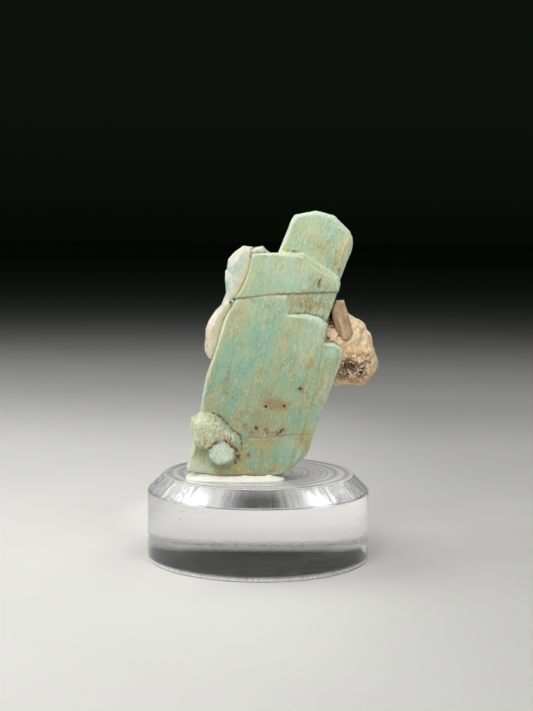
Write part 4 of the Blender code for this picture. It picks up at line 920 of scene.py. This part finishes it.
def look_base():
    """Clear acrylic: turning marks, scuffed bottom face, polishing marks across the bevel and a little dust."""
    look = Look("acrylic")
    split = look.node("ShaderNodeSeparateXYZ")
    look.feed(split.inputs[0], look.place)
    x, y, z = split.outputs
    reach = look.math("SQRT", look.math("ADD", look.math("POWER", x, 2.0), look.math("POWER", y, 2.0)))
    angle = look.math("ARCTAN2", y, x)
    rings = look.node("ShaderNodeTexNoise", noise_dimensions="1D")
    look.feed(rings.inputs["W"], look.math("MULTIPLY", reach, 900.0))
    rings.inputs["Scale"].default_value = 1.0
    rings.inputs["Detail"].default_value = 2.0
    rays = look.node("ShaderNodeTexNoise", noise_dimensions="1D")
    look.feed(rays.inputs["W"], look.math("MULTIPLY", angle, 11.0))
    rays.inputs["Scale"].default_value = 1.0
    rays.inputs["Detail"].default_value = 2.0
    rays.inputs["Roughness"].default_value = 0.55
    bevel = look.math("MULTIPLY", look.span(z, 0.0124, 0.0126), look.span(z, 0.01515, 0.01505))
    top = look.span(z, 0.01512, 0.01516)
    bottom = look.span(z, 0.00006, 0.00002)
    haze = look.noise(6.0, 5.0, 0.65, lean=0.0)
    scuffs = look.noise(0.5, 4.0, 0.7, lean=0.0, stretch=(1.0, 1.0, 5.0))
    rough = look.math("ADD", look.span(haze, 0.35, 0.75, 0.0, 0.03), look.math("MULTIPLY", bottom, 0.12))
    rough = look.math("ADD", rough, look.math("MULTIPLY", bevel, 0.05))
    dust = look.span(look.noise(0.25, 2.0, 0.5, lean=0.0, seed=5.0), 0.70, 0.75)
    circles = look.node("ShaderNodeTexNoise", noise_dimensions="1D")
    look.feed(circles.inputs["W"], look.math("MULTIPLY", reach, 900.0))
    circles.inputs["Scale"].default_value = 1.0
    circles.inputs["Detail"].default_value = 3.0
    veil = look.math("MULTIPLY", top, look.span(circles.outputs["Fac"], 0.35, 0.65, 0.3, 0.62))
    veil = look.math("MULTIPLY", veil, look.span(look.math("ADD", x, y), -0.004, 0.010, 1.0, 1.9), clamp=True)
    away = look.math("ABSOLUTE", x)
    hazy = look.math("MULTIPLY", look.span(away, 0.002, 0.006), look.span(rays.outputs["Fac"], 0.35, 0.6, 0.16, 0.34))
    hazy = look.math("MULTIPLY", hazy, look.span(away, 0.009, 0.015, 1.0, 0.6))
    threads = look.node("ShaderNodeTexNoise", noise_dimensions="1D")
    look.feed(threads.inputs["W"], look.math("MULTIPLY", angle, 70.0))
    threads.inputs["Scale"].default_value = 1.0
    hazy = look.math("ADD", hazy, look.math("MULTIPLY", look.span(threads.outputs["Fac"], 0.45, 0.65, 0.0, 0.10),
                                            look.span(away, 0.0010, 0.0030)))
    chipped = look.noise(1.6, 5.0, 0.7, lean=0.0, seed=7.0)
    chipped = look.math("MULTIPLY", look.span(away, 0.0105, 0.0135), look.span(chipped, 0.50, 0.56, 0.0, 0.5))
    hazy = look.math("MULTIPLY", bevel, look.math("MAXIMUM", hazy, chipped))
    rim = look.math("MAXIMUM", look.span(reach, 0.0178, 0.0195), look.math("MULTIPLY", look.span(reach, 0.0125, 0.0185),
                                                                         look.span(y, 0.0, 0.008)))
    worn = look.math("MULTIPLY", look.math("MULTIPLY", look.span(z, 0.0012, 0.0001), rim),
                     look.span(scuffs, 0.3, 0.65, 0.6, 1.0))
    cloudy = look.math("MAXIMUM", look.math("MULTIPLY", dust, 0.6), look.math("MAXIMUM", veil, worn))
    specks = look.span(look.noise(0.18, 2.0, 0.6, lean=0.0, seed=9.0), 0.5, 0.68, 0.0, 0.15)
    flecks = look.noise(0.2, 1.0, 0.5, lean=0.0, stretch=(1.4, 1.0, 1.0), seed=15.0)
    flecks = look.math("MULTIPLY", look.span(flecks, 0.56, 0.70, 0.0, 0.2), look.span(z, 0.0052, 0.0036))
    flecks = look.math("MULTIPLY", flecks, look.span(y, 0.0, -0.006))
    low = look.math("MAXIMUM", look.math("MULTIPLY", bottom, specks), flecks)
    cloudy = look.math("MAXIMUM", look.math("MAXIMUM", cloudy, hazy), low)
    look.set(Base_Color=paint(254, 254, 254), Roughness=rough, IOR=1.49,
             Transmission_Weight=look.math("SUBTRACT", 1.0, cloudy))
    rays = look.math("MULTIPLY_ADD", threads.outputs["Fac"], 0.04, rays.outputs["Fac"])
    look.bump((rings.outputs["Fac"], 0.006), (look.math("MULTIPLY", rays, bevel), 0.12),
              (look.math("MULTIPLY", scuffs, look.span(z, 0.004, 0.0)), 0.01))
    return look


# Floor, lights and camera

def make_floor():
    """A pale floor, a hair below the disc, as dust and its own roughness hold it; its colour carries painted light
    falloff and a painted pool of light behind the disc.
    """
    half = 6.0
    mesh = bpy.data.meshes.new("floor")
    height = -0.04 * MM
    mesh.from_pydata([(-half, -half, height), (half, -half, height), (half, half, height), (-half, half, height)], [],
                     [(0, 1, 2, 3)])
    floor = linked("floor", mesh)
    look = Look("floor")
    cloud = look.noise(60.0, 3.0, 0.5, lean=0.0)
    split = look.node("ShaderNodeSeparateXYZ")
    look.feed(split.inputs[0], look.place)
    # Painted shade: the floor darker towards the camera, to the right and far behind, where less lamp light falls.
    near = look.span(split.outputs[1], -0.085, -0.02, 0.86, 0.95)
    right = look.span(split.outputs[0], -0.03, 0.06, 1.0, 0.73)
    painted_distance_falloff = look.ramp(split.outputs[1], (0.05, paint(255, 255, 255)), (0.12, paint(250, 250, 250)),
                      (0.24, paint(214, 214, 214)), (0.43, paint(198, 198, 198)), (0.95, paint(152, 164, 152)))
    pale = look.ramp(cloud, (0.3, paint(219, 218, 214)), (0.7, paint(225, 224, 220)))
    right = look.math("MAXIMUM", right, look.span(split.outputs[1], 0.06, 0.25, 0.0, 0.84))
    pale = look.mix(look.math("MULTIPLY", near, right), paint(0, 0, 0), pale)
    # Painted light: a pale patch on the floor behind the disc.
    across = look.math("MULTIPLY_ADD", split.outputs[0], 1.0 / 0.024, 0.3)
    deep = look.math("MULTIPLY_ADD", split.outputs[1], 1.0 / 0.032, -0.036 / 0.032)
    painted_disc_light = look.math("ADD", look.math("POWER", across, 2.0), look.math("POWER", deep, 2.0))
    painted_disc_light = look.span(painted_disc_light, 1.1, 0.2, 0.0, 0.5)
    pale = look.mix(painted_disc_light, pale, paint(252, 251, 247))  # painted light: a pale patch for light that the clear disc lets through onto the floor
    look.set(Base_Color=look.mix(1.0, pale, painted_distance_falloff, "MULTIPLY"), Roughness=0.75, Specular_IOR_Level=0.3)
    look.give(floor)


def make_light(name, place, target, size, power, colour=(1.0, 1.0, 1.0)):
    """A soft rectangular light, in millimetres and watts, that the camera doesn't see."""
    data = bpy.data.lights.new(name, "AREA")
    data.shape = "RECTANGLE"
    data.size, data.size_y = size[0] * MM, size[1] * MM
    data.energy = power
    data.color = colour
    light = bpy.data.objects.new(name, data)
    bpy.context.scene.collection.objects.link(light)
    light.location = Vector(place) * MM
    light.rotation_euler = (Vector(target) - Vector(place)).to_track_quat("-Z", "Y").to_euler()
    light.visible_camera = False


def make_camera():
    """The camera at the photograph's place, pitch, roll and lens."""
    pitch, roll = 0.092063, 0.0084
    forward = Vector((0.0, math.cos(pitch), -math.sin(pitch)))
    level = Vector((1.0, 0.0, 0.0))
    above = level.cross(forward)
    right = level * math.cos(roll) + above * math.sin(roll)
    up = above * math.cos(roll) - level * math.sin(roll)
    data = bpy.data.cameras.new("camera")
    data.sensor_width = 36.0
    data.sensor_fit = "AUTO"
    data.lens = 69.34
    data.clip_start, data.clip_end = 0.01, 20.0
    camera = bpy.data.objects.new("camera", data)
    bpy.context.scene.collection.objects.link(camera)
    camera.matrix_world = Matrix.Translation(Vector((1.286, -245.287, 59.110)) * MM) @ Matrix(
        (right, up, -forward)).transposed().to_4x4()
    bpy.context.scene.camera = camera


def make_world():
    """A nearly black room, a little lighter above."""
    world = bpy.data.worlds.new("world")
    world.use_nodes = True
    tree = world.node_tree
    split = tree.nodes.new("ShaderNodeSeparateXYZ")
    tree.links.new(tree.nodes.new("ShaderNodeTexCoord").outputs["Generated"], split.inputs[0])
    ramp = tree.nodes.new("ShaderNodeValToRGB")
    tree.links.new(split.outputs[2], ramp.inputs[0])
    low, high = ramp.color_ramp.elements
    low.position, low.color = 0.0, (0.0022, 0.0036, 0.0020, 1.0)
    high.position, high.color = 0.09, (0.0042, 0.0062, 0.0042, 1.0)
    tree.links.new(ramp.outputs[0], tree.nodes["Background"].inputs["Color"])
    bpy.context.scene.world = world


# The whole

PIECES = [
    (shape_base, look_base, "display_base", "acrylic"),
    (shape_putty, look_putty, "mounting_putty", "putty"),
    (shape_amazonite, look_amazonite, "amazonite", "amazonite"),
    (shape_feldspar, look_feldspar, "pale_feldspar", "pale_feldspar"),
    (shape_left_quartz, look_left_quartz, "smoky_quartz_left", "pale_smoky_quartz"),
    (shape_right_quartz, look_right_quartz, "smoky_quartz_right", "smoky_quartz"),
    (shape_matrix, look_matrix, "matrix_rock", "matrix"),
]

for make_shape, make_look, node, slot in PIECES:
    piece = make_shape()
    make_look().give(piece)
    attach(piece, "root")
    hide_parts(node)
    print(piece.name, len(piece.data.polygons), "faces")

make_floor()
make_world()
make_light("overhead", (-30, -10, 340), (-15, -10, 0), (260, 260), 0.33)
make_light("over_front", (20, -130, 200), (5, -5, 45), (200, 120), 0.23)
make_light("left", (-330, 0, 240), (0, 0, 30), (320, 260), 0.75)
make_light("front", (-220, -540, 400), (0, 0, 35), (600, 240), 1.3)
make_light("fill", (260, -180, 170), (5, -5, 30), (160, 160), 0.13)
make_light("rear_left", (-250, 240, 300), (0, 0, 20), (220, 200), 0.34)
make_light("rear_right", (250, 240, 300), (0, 0, 20), (220, 200), 0.34)
make_light("rear_left_inner", (-135, 335, 280), (0, 0, 20), (90, 160), 0.018)
make_light("rear_right_inner", (135, 335, 280), (0, 0, 20), (90, 160), 0.018)
make_camera()
bpy.context.scene.view_settings.view_transform = "Standard"
bpy.context.scene.cycles.max_bounces = 32  # light goes round inside the clear disc many times
bpy.context.scene.cycles.glossy_bounces = 24
bpy.context.scene.cycles.transmission_bounces = 24
